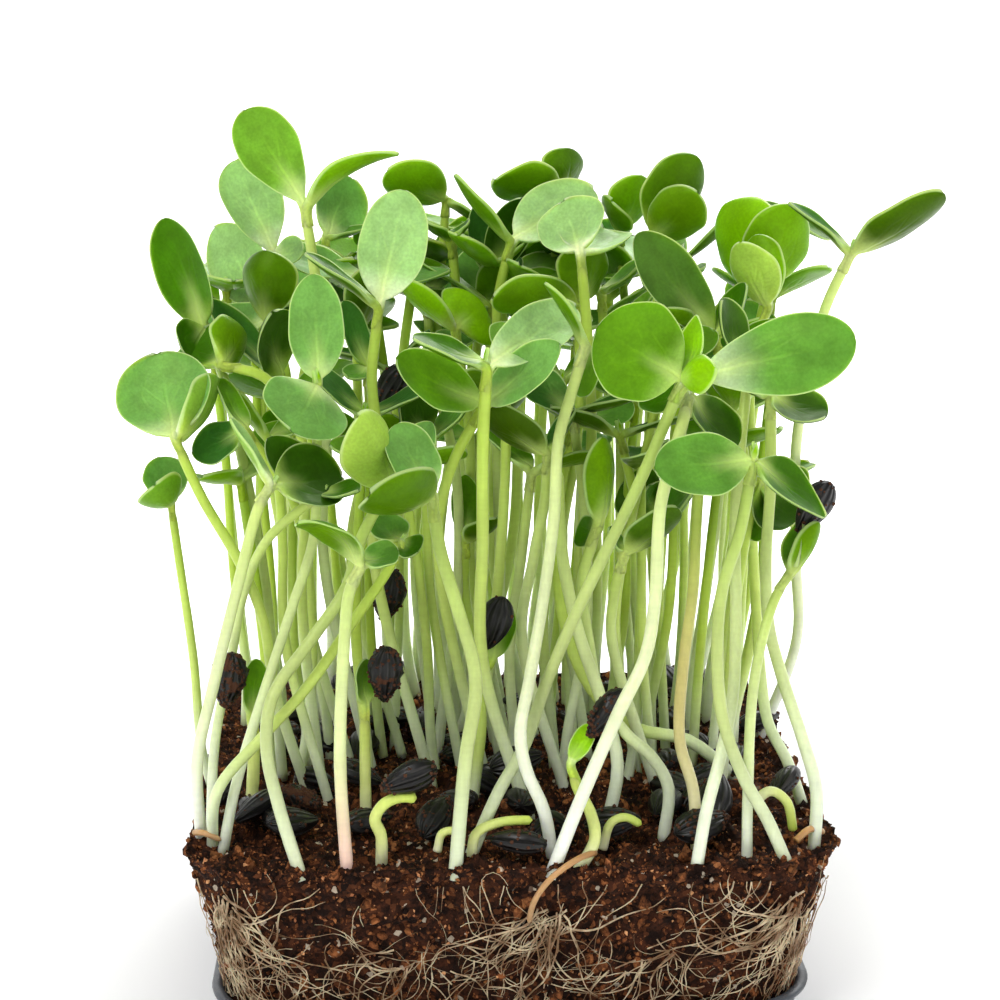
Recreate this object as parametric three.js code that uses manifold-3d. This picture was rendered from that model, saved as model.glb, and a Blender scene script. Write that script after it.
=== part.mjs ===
// Sunflower microgreens growing from a block of soil in a shallow tray.
// Millimetres, +Z up, origin at the middle of the tray's underside.
import * as THREE from 'three';
import { mergeVertices } from 'three/addons/utils/BufferGeometryUtils.js';
import Module from 'manifold-3d';

const wasm = await Module();
wasm.setup();

// Driving dimensions.
const GAP = 0.3;                 // clearance between pieces that touch
const SOIL_TOP = 40;             // height of the soil surface above the table
const SOIL_HALF_X = 60;          // half width of the soil surface
const SOIL_HALF_Y = 58;          // half depth of the soil surface
const SOIL_CORNER = 14;          // corner radius of the soil surface
const DRAFT = Math.tan(THREE.MathUtils.degToRad(12)); // the sides lean in towards the floor
const TRAY_HEIGHT = 8;
const TRAY_FLOOR = 1.2;
const TRAY_WALL = 1.0;
const LIP_WIDTH = 2.2;
const LIP_THICKNESS = 1.2;
const PLANTING_DEPTH = 3;        // how far a stem goes into the soil
const LEAF_THICKNESS = 0.9;
const LEAF_CUP = 0.14;           // rise of a leaf's edges over its middle, as a share of its width
const HULL_LENGTH = 10.8;
const HULL_WIDTH = 6.4;
const HULL_THICKNESS = 4.2;
const ROOT_THICKNESS = 0.9;

// Facets: sides of a round section, and the length of a stem that one facet spans.
const STEM_SIDES = 6;
const STEM_STEP = 15;
const ROOT_SIDES = 5;
const ROOT_STEP = 5;
const CORNER_STEPS = 4;
const LEAF_SIDES = 6;
const LEAF_RINGS = 5;
const KNUCKLE_RINGS = 3;
const HULL_SIDES = 8;

const finish = (color, roughness) => new THREE.MeshStandardMaterial({ color, roughness, metalness: 0 });
const FINISHES = {
  tray: finish(0x24272a, 0.45),
  soil: finish(0x3d2418, 0.95),
  sprout: finish(0x8cbc48, 0.5),
  hull: finish(0x2a2625, 0.6),
  root: finish(0xcbb98a, 0.8),
};

// Sprouts. Heights are above the soil surface.
// route: the stem from its foot to its head. leaves: [azimuth, rise, length, width, roll], in degrees
// and millimetres; azimuth 0 points to +X and 90 to +Y, and roll turns a leaf about its own length.
const SPROUTS = {
  // Front row, left to right.
  sprout_01: {
    stem: 2.6,
    route: [[-57, -39, 0], [-57, -42, 15], [-54, -40, 28], [-49, -38, 47], [-45, -37, 61], [-43, -37, 66]],
    leaves: [[155, 50, 12, 7, 40], [330, -20, 14, 10, -85]],
  },
  sprout_02: {
    stem: 2.2,
    route: [[-56, -35, 0], [-54, -36, 18], [-51, -35, 34], [-46, -33, 49], [-39, -32, 57], [-34, -32, 62]],
    leaves: [[175, 45, 14, 9, -40], [320, 10, 9, 6, 20]],
  },
  sprout_03: {
    stem: 2.4,
    route: [[-53, -43, 0], [-50, -43, 11], [-45, -36, 26], [-40, -30, 40], [-36, -26, 52], [-35, -28, 69],
      [-35, -30, 82]],
    leaves: [[95, 80, 19, 11, 0], [255, -30, 14, 15, 10]],
  },
  sprout_04: {
    stem: 2.7,
    route: [[-38, -55, 0], [-42, -52, 10], [-44, -50, 20], [-43, -46, 28], [-36, -40, 37], [-30, -36, 45],
      [-27, -34, 54], [-26, -33, 61]],
    leaves: [[160, 80, 16, 11, 85], [75, 75, 16, 10, 10]],
  },
  sprout_05: {
    stem: 2.7,
    route: [[-30, -54, 0], [-31, -52, 18], [-30, -47, 39], [-29, -44, 47], [-28, -43, 51]],
    leaves: [[215, 35, 15, 9, 15], [20, 20, 9, 9, 30]],
  },
  sprout_06: {
    stem: 3,
    route: [[-11, -55.5, 0], [-9, -55, 19], [-7, -50, 32], [-10, -46, 44], [-13, -43, 54], [-15, -42, 62]],
    leaves: [[225, 10, 17, 12, 50], [125, 60, 15, 14, -35]],
  },
  sprout_07: {
    stem: 2.8,
    route: [[-9, -51, 0], [-3, -48, 10], [2, -43, 17], [6, -39, 27], [11, -38, 39], [16, -38, 50],
      [23, -38, 65], [31, -40, 84]],
    leaves: [[185, 25, 19, 17, -70], [355, 10, 29, 14.5, 75]],
  },
  sprout_08: {
    stem: 2.8,
    route: [[7, -49, 0], [5, -51, 8], [2, -50, 15], [1, -48, 21], [3, -43, 30], [6, -35, 43],
      [8, -32, 57], [9, -29, 71], [11, -28, 78], [14, -27, 88]],
    leaves: [[195, 55, 14, 6, -5], [90, -70, 11, 7, 145]],
  },
  sprout_09: {
    stem: 2.9,
    route: [[6, -55.5, 0], [11, -56, 11], [18, -54, 27], [23, -50, 36], [25, -46, 45], [26, -44, 62],
      [29, -41, 72], [33, -33, 80]],
    leaves: [[0, -55, 13, 11, 60], [125, -10, 16, 10, -45]],
  },
  sprout_10: {
    stem: 2.6,
    route: [[33, -49, 0], [33, -43, 8], [31, -38, 16], [32, -34, 30], [34, -30, 42], [35, -26, 55],
      [36, -22, 63]],
    leaves: [[130, -50, 15, 9, -55], [35, 45, 10, 9, -10]],
  },
  sprout_11: {
    stem: 2.7,
    route: [[32, -55, 0], [34, -53, 8], [37, -48, 16], [40, -42, 26], [41, -37, 39], [42, -27, 55],
      [44, -20, 70], [46, -14, 81]],
    leaves: [[200, 65, 15, 9, -55], [45, 45, 12, 10, 5]],
  },
  sprout_12: {
    stem: 2.8,
    route: [[49, -54, 0], [45, -53, 6], [41, -52, 13], [37, -50, 24], [36, -48, 36], [37, -46, 47],
      [40, -45, 57], [42, -44, 68]],
    leaves: [[200, 5, 19, 13, -65], [345, -30, 16, 6, 10]],
  },
  sprout_13: {
    stem: 2.4,
    route: [[42, -50, 0], [42, -49, 9], [43, -45, 26], [45, -42, 36], [48, -38, 43], [50, -36, 47]],
    leaves: [[10, 60, 10, 6, -55], [35, 55, 9, 6, 5]],
  },
  sprout_14: {
    stem: 2.8,
    route: [[55, -46, 0], [55, -46, 9], [53, -43, 17], [50, -37, 27], [48, -32, 36], [48, -27, 47],
      [49, -24, 62], [49, -22, 77]],
    leaves: [[350, -20, 11, 10, 20], [170, 30, 8, 8, -10]],
  },
  sprout_15: {
    stem: 2.6,
    route: [[57, -26, 0], [54, -23, 6], [51, -18, 12], [50, -14, 20], [49, -10, 37], [48, -8, 52],
      [46, -6, 67], [41, -5, 85]],
    leaves: [[170, 55, 25, 11, -75], [0, 60, 12, 8, 40]],
  },
  sprout_16: {
    stem: 2.7,
    route: [[28, -40, 0], [29, -38, 7], [26, -35, 12], [22, -32, 15], [17, -29, 22], [15, -26, 32],
      [14, -24, 43], [17, -24, 54]],
    leaves: [[0, 90, 16, 8, -75], [135, -35, 7, 6, -70]],
  },
  // Left side, front to back.
  sprout_17: {
    stem: 2.3,
    route: [[-57, -12, 0], [-59, -13, 7], [-60, -13, 25], [-62, -14, 45], [-63, -15, 56]],
    leaves: [[235, 25, 10, 8, 15], [110, 65, 10, 9, -15]],
  },
  sprout_18: {
    stem: 2.5,
    route: [[-38, -16, 0], [-44, -19, 20], [-46, -22, 36], [-50, -25, 48], [-56, -27, 60], [-59, -28, 71]],
    leaves: [[200, 45, 16, 15, -65], [35, 60, 13, 7, -20]],
  },
  sprout_19: {
    stem: 2.4,
    route: [[-34, -20, 0], [-42, -20, 31], [-42, -21, 51], [-43, -22, 63], [-45, -23, 71]],
    leaves: [[170, -10, 13, 9, -45], [165, 40, 12, 5, 0]],
  },
  sprout_20: {
    stem: 2.5,
    route: [[-36, -10, 0], [-39, -12, 36], [-38, -14, 57], [-39, -16, 72], [-45, -18, 81], [-52, -18, 84]],
    leaves: [[25, 60, 9, 7, -45], [115, 20, 12, 10, -5]],
  },
  sprout_21: {
    stem: 2.6,
    route: [[-44, -4, 0], [-47, -4, 42], [-51, -5, 67], [-53, -6, 78], [-57, -6, 88]],
    leaves: [[170, 75, 22, 11.5, -70], [220, -45, 9, 9, -30]],
  },
  sprout_22: {
    stem: 2.5,
    route: [[-38, 10, 0], [-41, 8, 39], [-42, 5, 64], [-42, 3, 79], [-42, 2, 88]],
    leaves: [[205, 70, 15, 10, 50], [145, 15, 15, 8, -10]],
  },
  sprout_23: {
    stem: 2.6,
    route: [[-26, -2, 0], [-35, -3, 42], [-34, -4, 70], [-35, -5, 93], [-37, -6, 112]],
    leaves: [[160, 50, 22, 10, -60], [355, 25, 19, 9, 10]],
  },
  sprout_24: {
    stem: 2.5,
    route: [[-40, 18, 0], [-43, 16, 37], [-44, 14, 67], [-44, 12, 87], [-44, 12, 101]],
    leaves: [[170, 60, 20, 11, -50], [325, 20, 8, 6, 60]],
  },
  sprout_25: {
    stem: 2.5,
    route: [[-46, 28, 0], [-49, 26, 39], [-48, 24, 69], [-47, 22, 84], [-47, 22, 90]],
    leaves: [[165, 60, 17, 12, -60], [30, 0, 8, 8, 30]],
  },
  sprout_26: {
    stem: 2.6,
    route: [[-14, -12, 0], [-25, -14, 45], [-24, -16, 68], [-25, -16, 80], [-24, -17, 95]],
    leaves: [[35, 65, 21, 13, 50], [195, 35, 16, 7, -10]],
  },
  // Middle, front to back.
  sprout_27: {
    stem: 2.6,
    route: [[-3, -14, 0], [-12, -20, 39], [-13, -26, 55], [-10, -28, 67], [-6, -29, 76]],
    leaves: [[190, 40, 19, 11, -65], [333, 28, 21, 10, 75]],
  },
  sprout_28: {
    stem: 2.9,
    route: [[4, -28, 0], [-5, -30, 29], [-5, -32, 53], [-5, -34, 72], [-4, -35, 85]],
    leaves: [[200, 25, 16, 8, -20], [50, 33, 24, 12, 40]],
  },
  sprout_29: {
    stem: 2.6,
    route: [[12, -16, 0], [3, -18, 30], [5, -20, 46], [7, -22, 58], [7, -24, 68]],
    leaves: [[215, 25, 14, 10, 45], [75, 25, 12, 8, -40]],
  },
  sprout_30: {
    stem: 2.6,
    route: [[2, 8, 0], [-6, 7, 39], [-6, 6, 64], [-7, 5, 84]],
    leaves: [[45, 80, 10, 10, -120], [195, 40, 17, 9, 25]],
  },
  sprout_31: {
    stem: 2.6,
    route: [[18, 4, 0], [12, 4, 40], [15, 3, 64], [15, 2, 92]],
    leaves: [[195, 5, 17, 9, 40], [40, 60, 13, 8, -15]],
  },
  sprout_32: {
    stem: 2.4,
    route: [[-14, 38, 0], [-17, 38, 31], [-13, 38, 66], [-10, 38, 108]],
    leaves: [[200, 20, 14, 10, 55], [345, -20, 7, 5, -15]],
  },
  sprout_33: {
    stem: 2.6,
    route: [[8, 16, 0], [-1, 16, 37], [0, 16, 70], [0, 16, 90], [2, 15, 102]],
    leaves: [[195, 50, 17, 6, -15], [350, 30, 21, 11, 65]],
  },
  sprout_34: {
    stem: 2.6,
    route: [[24, -4, 0], [15, -6, 34], [17, -7, 66], [16, -8, 86], [14, -9, 103]],
    leaves: [[135, 35, 12, 12, -45], [330, 15, 11, 8, 40]],
  },
  sprout_35: {
    stem: 2.4,
    route: [[14, 40, 0], [10, 40, 30], [11, 40, 66], [14, 40, 110]],
    leaves: [[195, 15, 15, 10, -30], [65, 65, 10, 10, 5]],
  },
  // Right side, front to back.
  sprout_36: {
    stem: 2.6,
    route: [[30, -20, 0], [20, -21, 30], [20, -22, 38], [22, -24, 48]],
    leaves: [[330, 30, 13, 9, -50], [180, 60, 6, 4, -30]],
  },
  sprout_37: {
    stem: 2.5,
    route: [[42, -18, 0], [44, -18, 36], [46, -18, 52], [48, -18, 61]],
    leaves: [[355, -40, 12, 13, 40], [100, -80, 13, 9, -110]],
  },
  sprout_38: {
    stem: 2.5,
    route: [[48, 6, 0], [49, 6, 30], [50, 6, 59], [50, 6, 79], [53, 5, 90]],
    leaves: [[215, 55, 15, 11, 25], [125, 75, 14, 10, 115]],
  },
  sprout_39: {
    stem: 2.6,
    route: [[54, 12, 0], [61, 8, 21], [60, 6, 38], [59, 4, 64], [63, 2, 89], [68, 1, 102]],
    leaves: [[355, 25, 19, 10, -40], [150, 35, 12, 6, 5]],
  },
  sprout_40: {
    stem: 2.5,
    route: [[50, 24, 0], [51, 22, 34], [51, 20, 69], [54, 18, 93]],
    leaves: [[150, 65, 18, 14, 95], [320, 70, 17, 13, -45]],
  },
  sprout_41: {
    stem: 2.4,
    route: [[36, 26, 0], [33, 25, 34], [32, 24, 68], [32, 23, 102]],
    leaves: [[5, 60, 19, 12, -75], [335, 40, 14, 9, -30]],
  },
  sprout_42: {
    stem: 2.4,
    route: [[44, 40, 0], [51, 39, 30], [52, 38, 66], [52, 36, 105]],
    leaves: [[190, -40, 15, 5, 20], [15, 0, 16, 8, 25]],
  },
  // Short late sprouts, whose tips are still held by their seed hulls.
  sprout_43: {
    stem: 3,
    route: [[-49, -27, 0], [-48, -27, 9], [-48, -27, 18]],
    leaves: [[70, 78, 11, 6, 60]],
  },
  sprout_44: {
    stem: 2.6,
    route: [[-27, -32, 0], [-27, -31, 10], [-27, -31, 21]],
    leaves: [[80, 80, 9, 6, 60]],
  },
  sprout_45: {
    stem: 2.6,
    route: [[-7, -24, 0], [-5, -23, 14], [-5, -22, 22], [-3, -22, 27]],
    leaves: [[20, 72, 11, 6, 75]],
  },
  sprout_46: {
    stem: 2.6,
    route: [[10.5, -55, 0], [14, -53.5, 3], [13.5, -51.5, 7], [11, -50, 12], [10, -49, 16]],
    leaves: [[40, 50, 8, 4, 30]],
  },
  sprout_47: {
    stem: 2.6,
    route: [[-24, -50, 0], [-24, -52, 4], [-25, -53, 7.5], [-23, -53, 10], [-18, -52.5, 10], [-14, -52, 9.5]],
    leaves: [[0, 35, 5, 4, 60]],
  },
};

// Seed hulls: at is the middle, narrow the azimuth of the narrow end, rise its angle above level.
const HULLS = {
  hull_01: { at: [-52, -29.5, 26], narrow: 180, rise: -80, roll: 90 },
  hull_02: { at: [-23, -33.5, 28], narrow: 180, rise: -86, roll: 90 },
  hull_03: { at: [-2.5, -26.5, 35.5], narrow: 180, rise: -74, roll: 90 },
  hull_04: { at: [16.5, -47.5, 24.5], narrow: 200, rise: -48, roll: 75 },
  hull_05: { at: [-19, -53, 15], narrow: 190, rise: -18, roll: 75 },
  hull_06: { at: [58, -33, 60.5], narrow: 190, rise: -56, roll: 80 },
  hull_07: { at: [0, -54, 3.2], narrow: 170, rise: 4, roll: 30 },
  hull_08: { at: [-47, -37, 4], narrow: 215, rise: -20, roll: 30 },
};

// Root strands on the front face of the soil: [x, height above the soil surface] down each strand.
const ROOTS = {
  roots_middle: [
    [[9, -1.5], [5, -7], [6, -16], [4, -28]],
    [[5, -7], [10, -15], [15, -27]],
    [[5, -7], [1, -15], [-5, -27]],
  ],
  roots_left: [
    [[-45, -3], [-42, -9], [-44, -17], [-41, -28]],
    [[-42, -9], [-36, -16], [-32, -27]],
  ],
  roots_right: [
    [[44, -3], [41, -9], [43, -17], [40, -28]],
    [[41, -9], [35, -16], [31, -27]],
  ],
};

// Closed geometry to solid, and solid to named mesh.
function solidOf(geometry) {
  geometry.deleteAttribute('normal');
  geometry.deleteAttribute('uv');
  const merged = mergeVertices(geometry, 1e-4);
  return new wasm.Manifold(new wasm.Mesh({
    numProp: 3,
    vertProperties: merged.attributes.position.array,
    triVerts: Uint32Array.from(merged.index.array),
  }));
}

function meshOf(name, solid, material) {
  const { vertProperties, triVerts } = solid.getMesh();
  const geometry = new THREE.BufferGeometry();
  geometry.setAttribute('position', new THREE.BufferAttribute(vertProperties, 3));
  geometry.setIndex(new THREE.BufferAttribute(triVerts, 1));
  geometry.computeVertexNormals();
  const mesh = new THREE.Mesh(geometry, material);
  mesh.name = name;
  return mesh;
}

// A point given by its height above the soil surface.
const aboveSoil = ([x, y, height]) => new THREE.Vector3(x, y, SOIL_TOP + height);

// Half size of the soil block's side at a height above the table, before its inset.
const leanedIn = (half, z) => half - (SOIL_TOP - z) * DRAFT;

// Turns local X along a direction, local Y across it and local Z over it.
function aimed(geometry, origin, azimuth, rise, roll) {
  const turn = new THREE.Euler(
    THREE.MathUtils.degToRad(roll),
    THREE.MathUtils.degToRad(-rise),
    THREE.MathUtils.degToRad(azimuth),
    'ZYX',
  );
  const matrix = new THREE.Matrix4().makeRotationFromEuler(turn).setPosition(origin);
  return geometry.applyMatrix4(matrix);
}

// A round bar of even thickness along a smooth route.
function tube(points, radius, sides, step) {
  const curve = new THREE.CatmullRomCurve3(points);
  const section = new THREE.Shape(new THREE.EllipseCurve(0, 0, radius, radius).getPoints(sides).slice(0, sides));
  const steps = Math.max(4, Math.round(curve.getLength() / step));
  return solidOf(new THREE.ExtrudeGeometry(section, { steps, bevelEnabled: false, extrudePath: curve }));
}

// A closed body grown from a sphere: place(t, u, h) gives local [along, across, over] for the share t
// of its length, and u and h, the sideways and upward parts of the way round it.
function grown(sides, rings, place) {
  const geometry = new THREE.SphereGeometry(1, sides, rings, Math.PI / sides);
  const position = geometry.attributes.position;
  for (let i = 0; i < position.count; i++) {
    const ring = Math.hypot(position.getX(i), position.getZ(i));
    const round = ring > 1e-6 ? 1 / ring : 0;
    const t = (1 + position.getY(i)) / 2;
    position.setXYZ(i, ...place(t, position.getZ(i) * round, position.getX(i) * round));
  }
  return geometry;
}

// Half width of a seed leaf as a share of its widest, from its stalk (0) to its blunt tip (1).
function leafOutline(t) {
  const blade = Math.max(0, (t - 0.08) / 0.92);
  const oval = Math.max(0, 1 - (2 * blade ** 1.25 - 1) ** 2) ** 0.55;
  return Math.max(0.14 * (1 - blade), oval);
}

function leaf(head, [azimuth, rise, length, width, roll], margin) {
  const blade = grown(LEAF_SIDES, LEAF_RINGS, (t, u, h) => {
    const share = leafOutline(t);
    const edge = u * (width / 2 + margin) * share;
    const cup = LEAF_CUP * width * share ** 2 * (u ** 2 - 0.6);
    return [length * t + margin * (2 * t - 1), edge, h * (LEAF_THICKNESS / 2 + margin) + cup];
  });
  return solidOf(aimed(blade, head, azimuth, rise, roll));
}

// One sprout with its stem, the knuckle at its head and its seed leaves, grown as one piece.
function sprout({ stem, route, leaves }, margin) {
  const [foot, ...rest] = route;
  const points = [[foot[0], foot[1], -PLANTING_DEPTH], ...rest].map(aboveSoil);
  const head = points[points.length - 1];
  const radius = stem / 2 + margin;
  const knuckle = new THREE.SphereGeometry(radius * 1.2, STEM_SIDES, KNUCKLE_RINGS).translate(head.x, head.y, head.z);
  return leaves.reduce(
    (solid, row) => solid.add(leaf(head, row, margin)),
    tube(points, radius, STEM_SIDES, STEM_STEP).add(solidOf(knuckle)),
  );
}

// A seed hull: a flattened drop, blunt at one end and narrow at the other.
function hull({ at, narrow, rise, roll }, margin) {
  const body = grown(HULL_SIDES, LEAF_RINGS, (t, u, h) => {
    const share = Math.sin(Math.PI * t ** 0.75) ** 0.7;
    return [
      (t - 0.5) * (HULL_LENGTH + 2 * margin),
      u * (HULL_WIDTH / 2 + margin) * share,
      h * (HULL_THICKNESS / 2 + margin) * share,
    ];
  });
  return solidOf(aimed(body, aboveSoil(at), narrow, rise, roll));
}

// A rounded rectangular block whose sides keep the soil's lean, outset from the soil's own face.
function block(low, high, outset) {
  const halfX = SOIL_HALF_X + outset;
  const halfY = SOIL_HALF_Y + outset;
  const corner = SOIL_CORNER + outset;
  const outline = new THREE.Shape()
    .moveTo(halfX - corner, -halfY)
    .absarc(halfX - corner, corner - halfY, corner, -Math.PI / 2, 0)
    .absarc(halfX - corner, halfY - corner, corner, 0, Math.PI / 2)
    .absarc(corner - halfX, halfY - corner, corner, Math.PI / 2, Math.PI)
    .absarc(corner - halfX, corner - halfY, corner, Math.PI, 1.5 * Math.PI);
  const geometry = new THREE.ExtrudeGeometry(outline, {
    depth: high - low,
    bevelEnabled: false,
    curveSegments: CORNER_STEPS,
  });
  const position = geometry.attributes.position;
  for (let i = 0; i < position.count; i++) {
    const z = position.getZ(i) + low;
    const shareX = leanedIn(halfX, z) / halfX;
    const shareY = leanedIn(halfY, z) / halfY;
    position.setXYZ(i, position.getX(i) * shareX, position.getY(i) * shareY, z);
  }
  return solidOf(geometry);
}

function tray() {
  const shell = block(0, TRAY_HEIGHT, GAP + TRAY_WALL);
  const lip = block(TRAY_HEIGHT - LIP_THICKNESS, TRAY_HEIGHT, GAP + LIP_WIDTH);
  const inside = block(TRAY_FLOOR, TRAY_HEIGHT + 1, GAP);
  return shell.add(lip).subtract(inside);
}

// Roots lie just clear of the soil's leaning front face.
function roots(strands) {
  const radius = ROOT_THICKNESS / 2;
  const onFace = ([x, height]) => {
    const y = -leanedIn(SOIL_HALF_Y, SOIL_TOP + height) - (radius + GAP) * 1.1;
    return new THREE.Vector3(x, y, SOIL_TOP + height);
  };
  const tubes = strands.map((strand) => tube(strand.map(onFace), radius, ROOT_SIDES, ROOT_STEP));
  const [first] = strands;
  const fork = onFace(first[1]);
  const knot = new THREE.SphereGeometry(radius * 1.3, ROOT_SIDES, KNUCKLE_RINGS).translate(fork.x, fork.y, fork.z);
  return tubes.reduce((solid, strand) => solid.add(strand), solidOf(knot));
}

// The soil is dented by what grows out of it and what lies on it.
function soilBlock() {
  const set = [
    ...Object.values(SPROUTS).map((row) => sprout(row, GAP)),
    ...Object.values(HULLS).map((row) => hull(row, GAP)),
  ];
  return set.reduce((soil, piece) => soil.subtract(piece), block(TRAY_FLOOR + GAP, SOIL_TOP, 0));
}

const model = new THREE.Group();
const place = (name, solid, material) => model.add(meshOf(name, solid, material));

place('tray', tray(), FINISHES.tray);
place('soil_block', soilBlock(), FINISHES.soil);
for (const [name, row] of Object.entries(SPROUTS)) {
  place(name, sprout(row, 0), FINISHES.sprout);
}
for (const [name, row] of Object.entries(HULLS)) {
  place(name, hull(row, 0), FINISHES.hull);
}
for (const [name, strands] of Object.entries(ROOTS)) {
  place(name, roots(strands), FINISHES.root);
}

export default model;
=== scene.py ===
"""The looks of a tray of sunflower microgreens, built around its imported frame.

Sizes in the tables are millimetres and degrees. Meshes are in metres, +Z up.
"""

import logging
import math
from dataclasses import dataclass
from enum import Enum
from random import Random
from typing import Callable, Sequence

import bmesh
import bpy
import numpy as np
from bpy.types import ID, Material, Mesh, Node, NodeTree, Object
from bpy.types import NodeSocket as Socket
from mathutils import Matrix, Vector, noise
from numpy import ndarray as Array

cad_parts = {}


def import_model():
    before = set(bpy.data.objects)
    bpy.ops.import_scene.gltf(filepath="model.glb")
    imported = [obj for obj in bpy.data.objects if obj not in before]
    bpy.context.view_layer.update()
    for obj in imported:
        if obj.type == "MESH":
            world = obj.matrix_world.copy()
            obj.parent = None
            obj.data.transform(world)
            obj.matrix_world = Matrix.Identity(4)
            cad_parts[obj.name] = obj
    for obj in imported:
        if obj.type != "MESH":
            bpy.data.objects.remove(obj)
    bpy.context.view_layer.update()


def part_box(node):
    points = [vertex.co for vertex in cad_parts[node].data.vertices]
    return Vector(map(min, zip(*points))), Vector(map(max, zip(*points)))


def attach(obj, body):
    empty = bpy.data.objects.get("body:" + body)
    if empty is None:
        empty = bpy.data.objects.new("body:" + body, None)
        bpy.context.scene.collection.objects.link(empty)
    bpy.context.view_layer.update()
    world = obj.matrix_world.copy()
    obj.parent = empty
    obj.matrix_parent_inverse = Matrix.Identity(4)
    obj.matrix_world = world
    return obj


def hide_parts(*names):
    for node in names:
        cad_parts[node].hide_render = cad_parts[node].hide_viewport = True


LOG = logging.getLogger("microgreens")
MM = 0.001
BODY = "root"

Colour = tuple[float, float, float]
Point = tuple[float, float, float]
Strand = tuple[Array, Array]


def linear(display: Sequence[float]) -> Colour:
    """Linear light of a display colour.

    Args:
        display: red, green and blue from 0 to 255.

    Returns:
        The same colour as linear red, green and blue from 0 to 1.
    """
    share = [channel / 255 for channel in display]
    return tuple(c / 12.92 if c <= 0.04045 else ((c + 0.055) / 1.055) ** 2.4 for c in share)


def smooth(low: float, high: float, value: Array) -> Array:
    """Smooth step.

    Args:
        low: where the step starts.
        high: where it ends.
        value: what is measured.

    Returns:
        0 below low, 1 above high, and a smooth rise between.
    """
    share = np.clip((value - low) / (high - low), 0, 1)
    return share * share * (3 - 2 * share)


def unit(vector: Array) -> Array:
    """The vector at length 1."""
    return vector / max(float(np.linalg.norm(vector)), 1e-12)


class Tone(Enum):
    """Display colours of a seed leaf's upper and lower face."""

    # Some tones hold painted light: SHADE is painted shade for leaves that lie in the shade of others, DEEP
    # is partly the leaves' own darker green and partly painted shade, and SILVER's paleness is partly the
    # leaves' waxy bloom and partly painted sheen.
    BRIGHT = ((106, 154, 42), (104, 150, 8))
    FRESH = ((84, 132, 14), (92, 134, 2))
    SILVER = ((150, 188, 116), (122, 162, 54))
    MINT = ((108, 156, 74), (100, 144, 34))
    MID = ((88, 138, 48), (88, 130, 8))
    DEEP = ((54, 102, 2), (68, 106, 0))
    TEAL = ((52, 102, 34), (62, 96, 8))
    SLATE = ((70, 108, 34), (74, 106, 12))
    SHADE = ((48, 86, 10), (54, 82, 0))
    LIME = ((134, 188, 16), (130, 182, 4))
    POD = ((152, 186, 66), (158, 190, 74))


class Blush(Enum):
    """Display colours of a stem at its foot, its middle and its head."""

    WHITE = ((236, 240, 228), (220, 228, 182), (194, 212, 122))
    PALE = ((226, 234, 212), (206, 219, 156), (182, 203, 104))
    GREEN = ((222, 232, 202), (196, 215, 114), (176, 202, 78))
    DEEP = ((214, 227, 178), (182, 206, 78), (150, 184, 44))
    ROSE = ((232, 196, 182), (212, 222, 164), (196, 215, 128))
    TAN = ((222, 216, 176), (212, 198, 130), (170, 192, 84))
    SAGE = ((212, 221, 188), (184, 198, 126), (166, 190, 92))
    LIME = ((230, 232, 190), (212, 222, 136), (192, 210, 96))
    RUST = ((172, 128, 84), (192, 148, 102), (176, 140, 102))

    def stops(self) -> list[Array]:
        """The three as linear colours."""
        return [np.array(linear(colour)) for colour in self.value]


@dataclass(frozen=True)
class Leaf:
    """One seed leaf.

    azimuth and rise give the way that it points, and roll turns it about its own length. bend is
    how far it turns upwards over its length, cup how far its edges rise over its middle, stalk the
    share of its length before the blade, full the blade's fullness towards its tip, pale how far
    its whitish base reaches, and point how pointed its tip is.
    """

    azimuth: float
    rise: float
    length: float
    width: float
    roll: float
    tone: Tone = Tone.MID
    bend: float = 8.0
    cup: float = 0.14
    stalk: float = 0.06
    full: float = 1.05
    pale: float = 0.28
    point: float = 0.0

    def axes(self) -> tuple[Array, Array, Array]:
        """The way that the leaf lies.

        Returns:
            Unit vectors along it, across it and over its upper face.
        """
        a, e, r = (math.radians(angle) for angle in (self.azimuth, self.rise, self.roll))
        along = np.array([math.cos(e) * math.cos(a), math.cos(e) * math.sin(a), math.sin(e)])
        level = np.array([-math.sin(a), math.cos(a), 0.0])
        above = np.cross(along, level)
        across = level * math.cos(r) + above * math.sin(r)
        over = above * math.cos(r) - level * math.sin(r)
        return along, across, over

    def half_width(self, blade: Array) -> Array:
        """Half the blade's width.

        Args:
            blade: shares of the blade's length, from its stalk to its tip.

        Returns:
            Half widths in millimetres.
        """
        oval = np.clip(1 - (2 * blade**self.full - 1) ** 2, 0, 1) ** 0.55
        spear = np.sin(math.pi * np.clip(blade, 0, 1) ** 0.8) ** 0.9 * (1 - 0.25 * blade)
        return self.width / 2 * (oval * (1 - self.point) + spear * self.point)


@dataclass(frozen=True)
class Sprout:
    """One sprout: its stem's thickness, route and colours, its seed leaves, and its bud's length.

    The route runs from the foot to the head, with heights above the soil.
    """

    stem: float
    route: tuple[Point, ...]
    leaves: tuple[Leaf, ...]
    blush: Blush = Blush.GREEN
    bud: float = 0.0

    def foot(self) -> Array:
        """Where it stands on the soil."""
        return np.array(self.route[0][:2])

    def blades(self) -> list[Array]:
        """The middles of its seed leaves' blades."""
        head = np.array(self.route[-1])
        return [head + leaf.axes()[0] * leaf.length * BLADE_MIDDLE for leaf in self.leaves]


@dataclass(frozen=True)
class Head:
    """The head of a stem: its place, the way that the stem points, its radius and linear colour."""

    at: Array
    way: Array
    radius: float
    tint: Array


@dataclass(frozen=True)
class Hull:
    """One seed hull: its middle, height above the soil, and how it lies.

    narrow is the azimuth of its narrow end, dusty how much soil sticks to it, and size its size
    beside the usual one.
    """

    at: Point
    narrow: float
    rise: float
    roll: float
    dusty: float = 0.1
    size: float = 1.0


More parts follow.
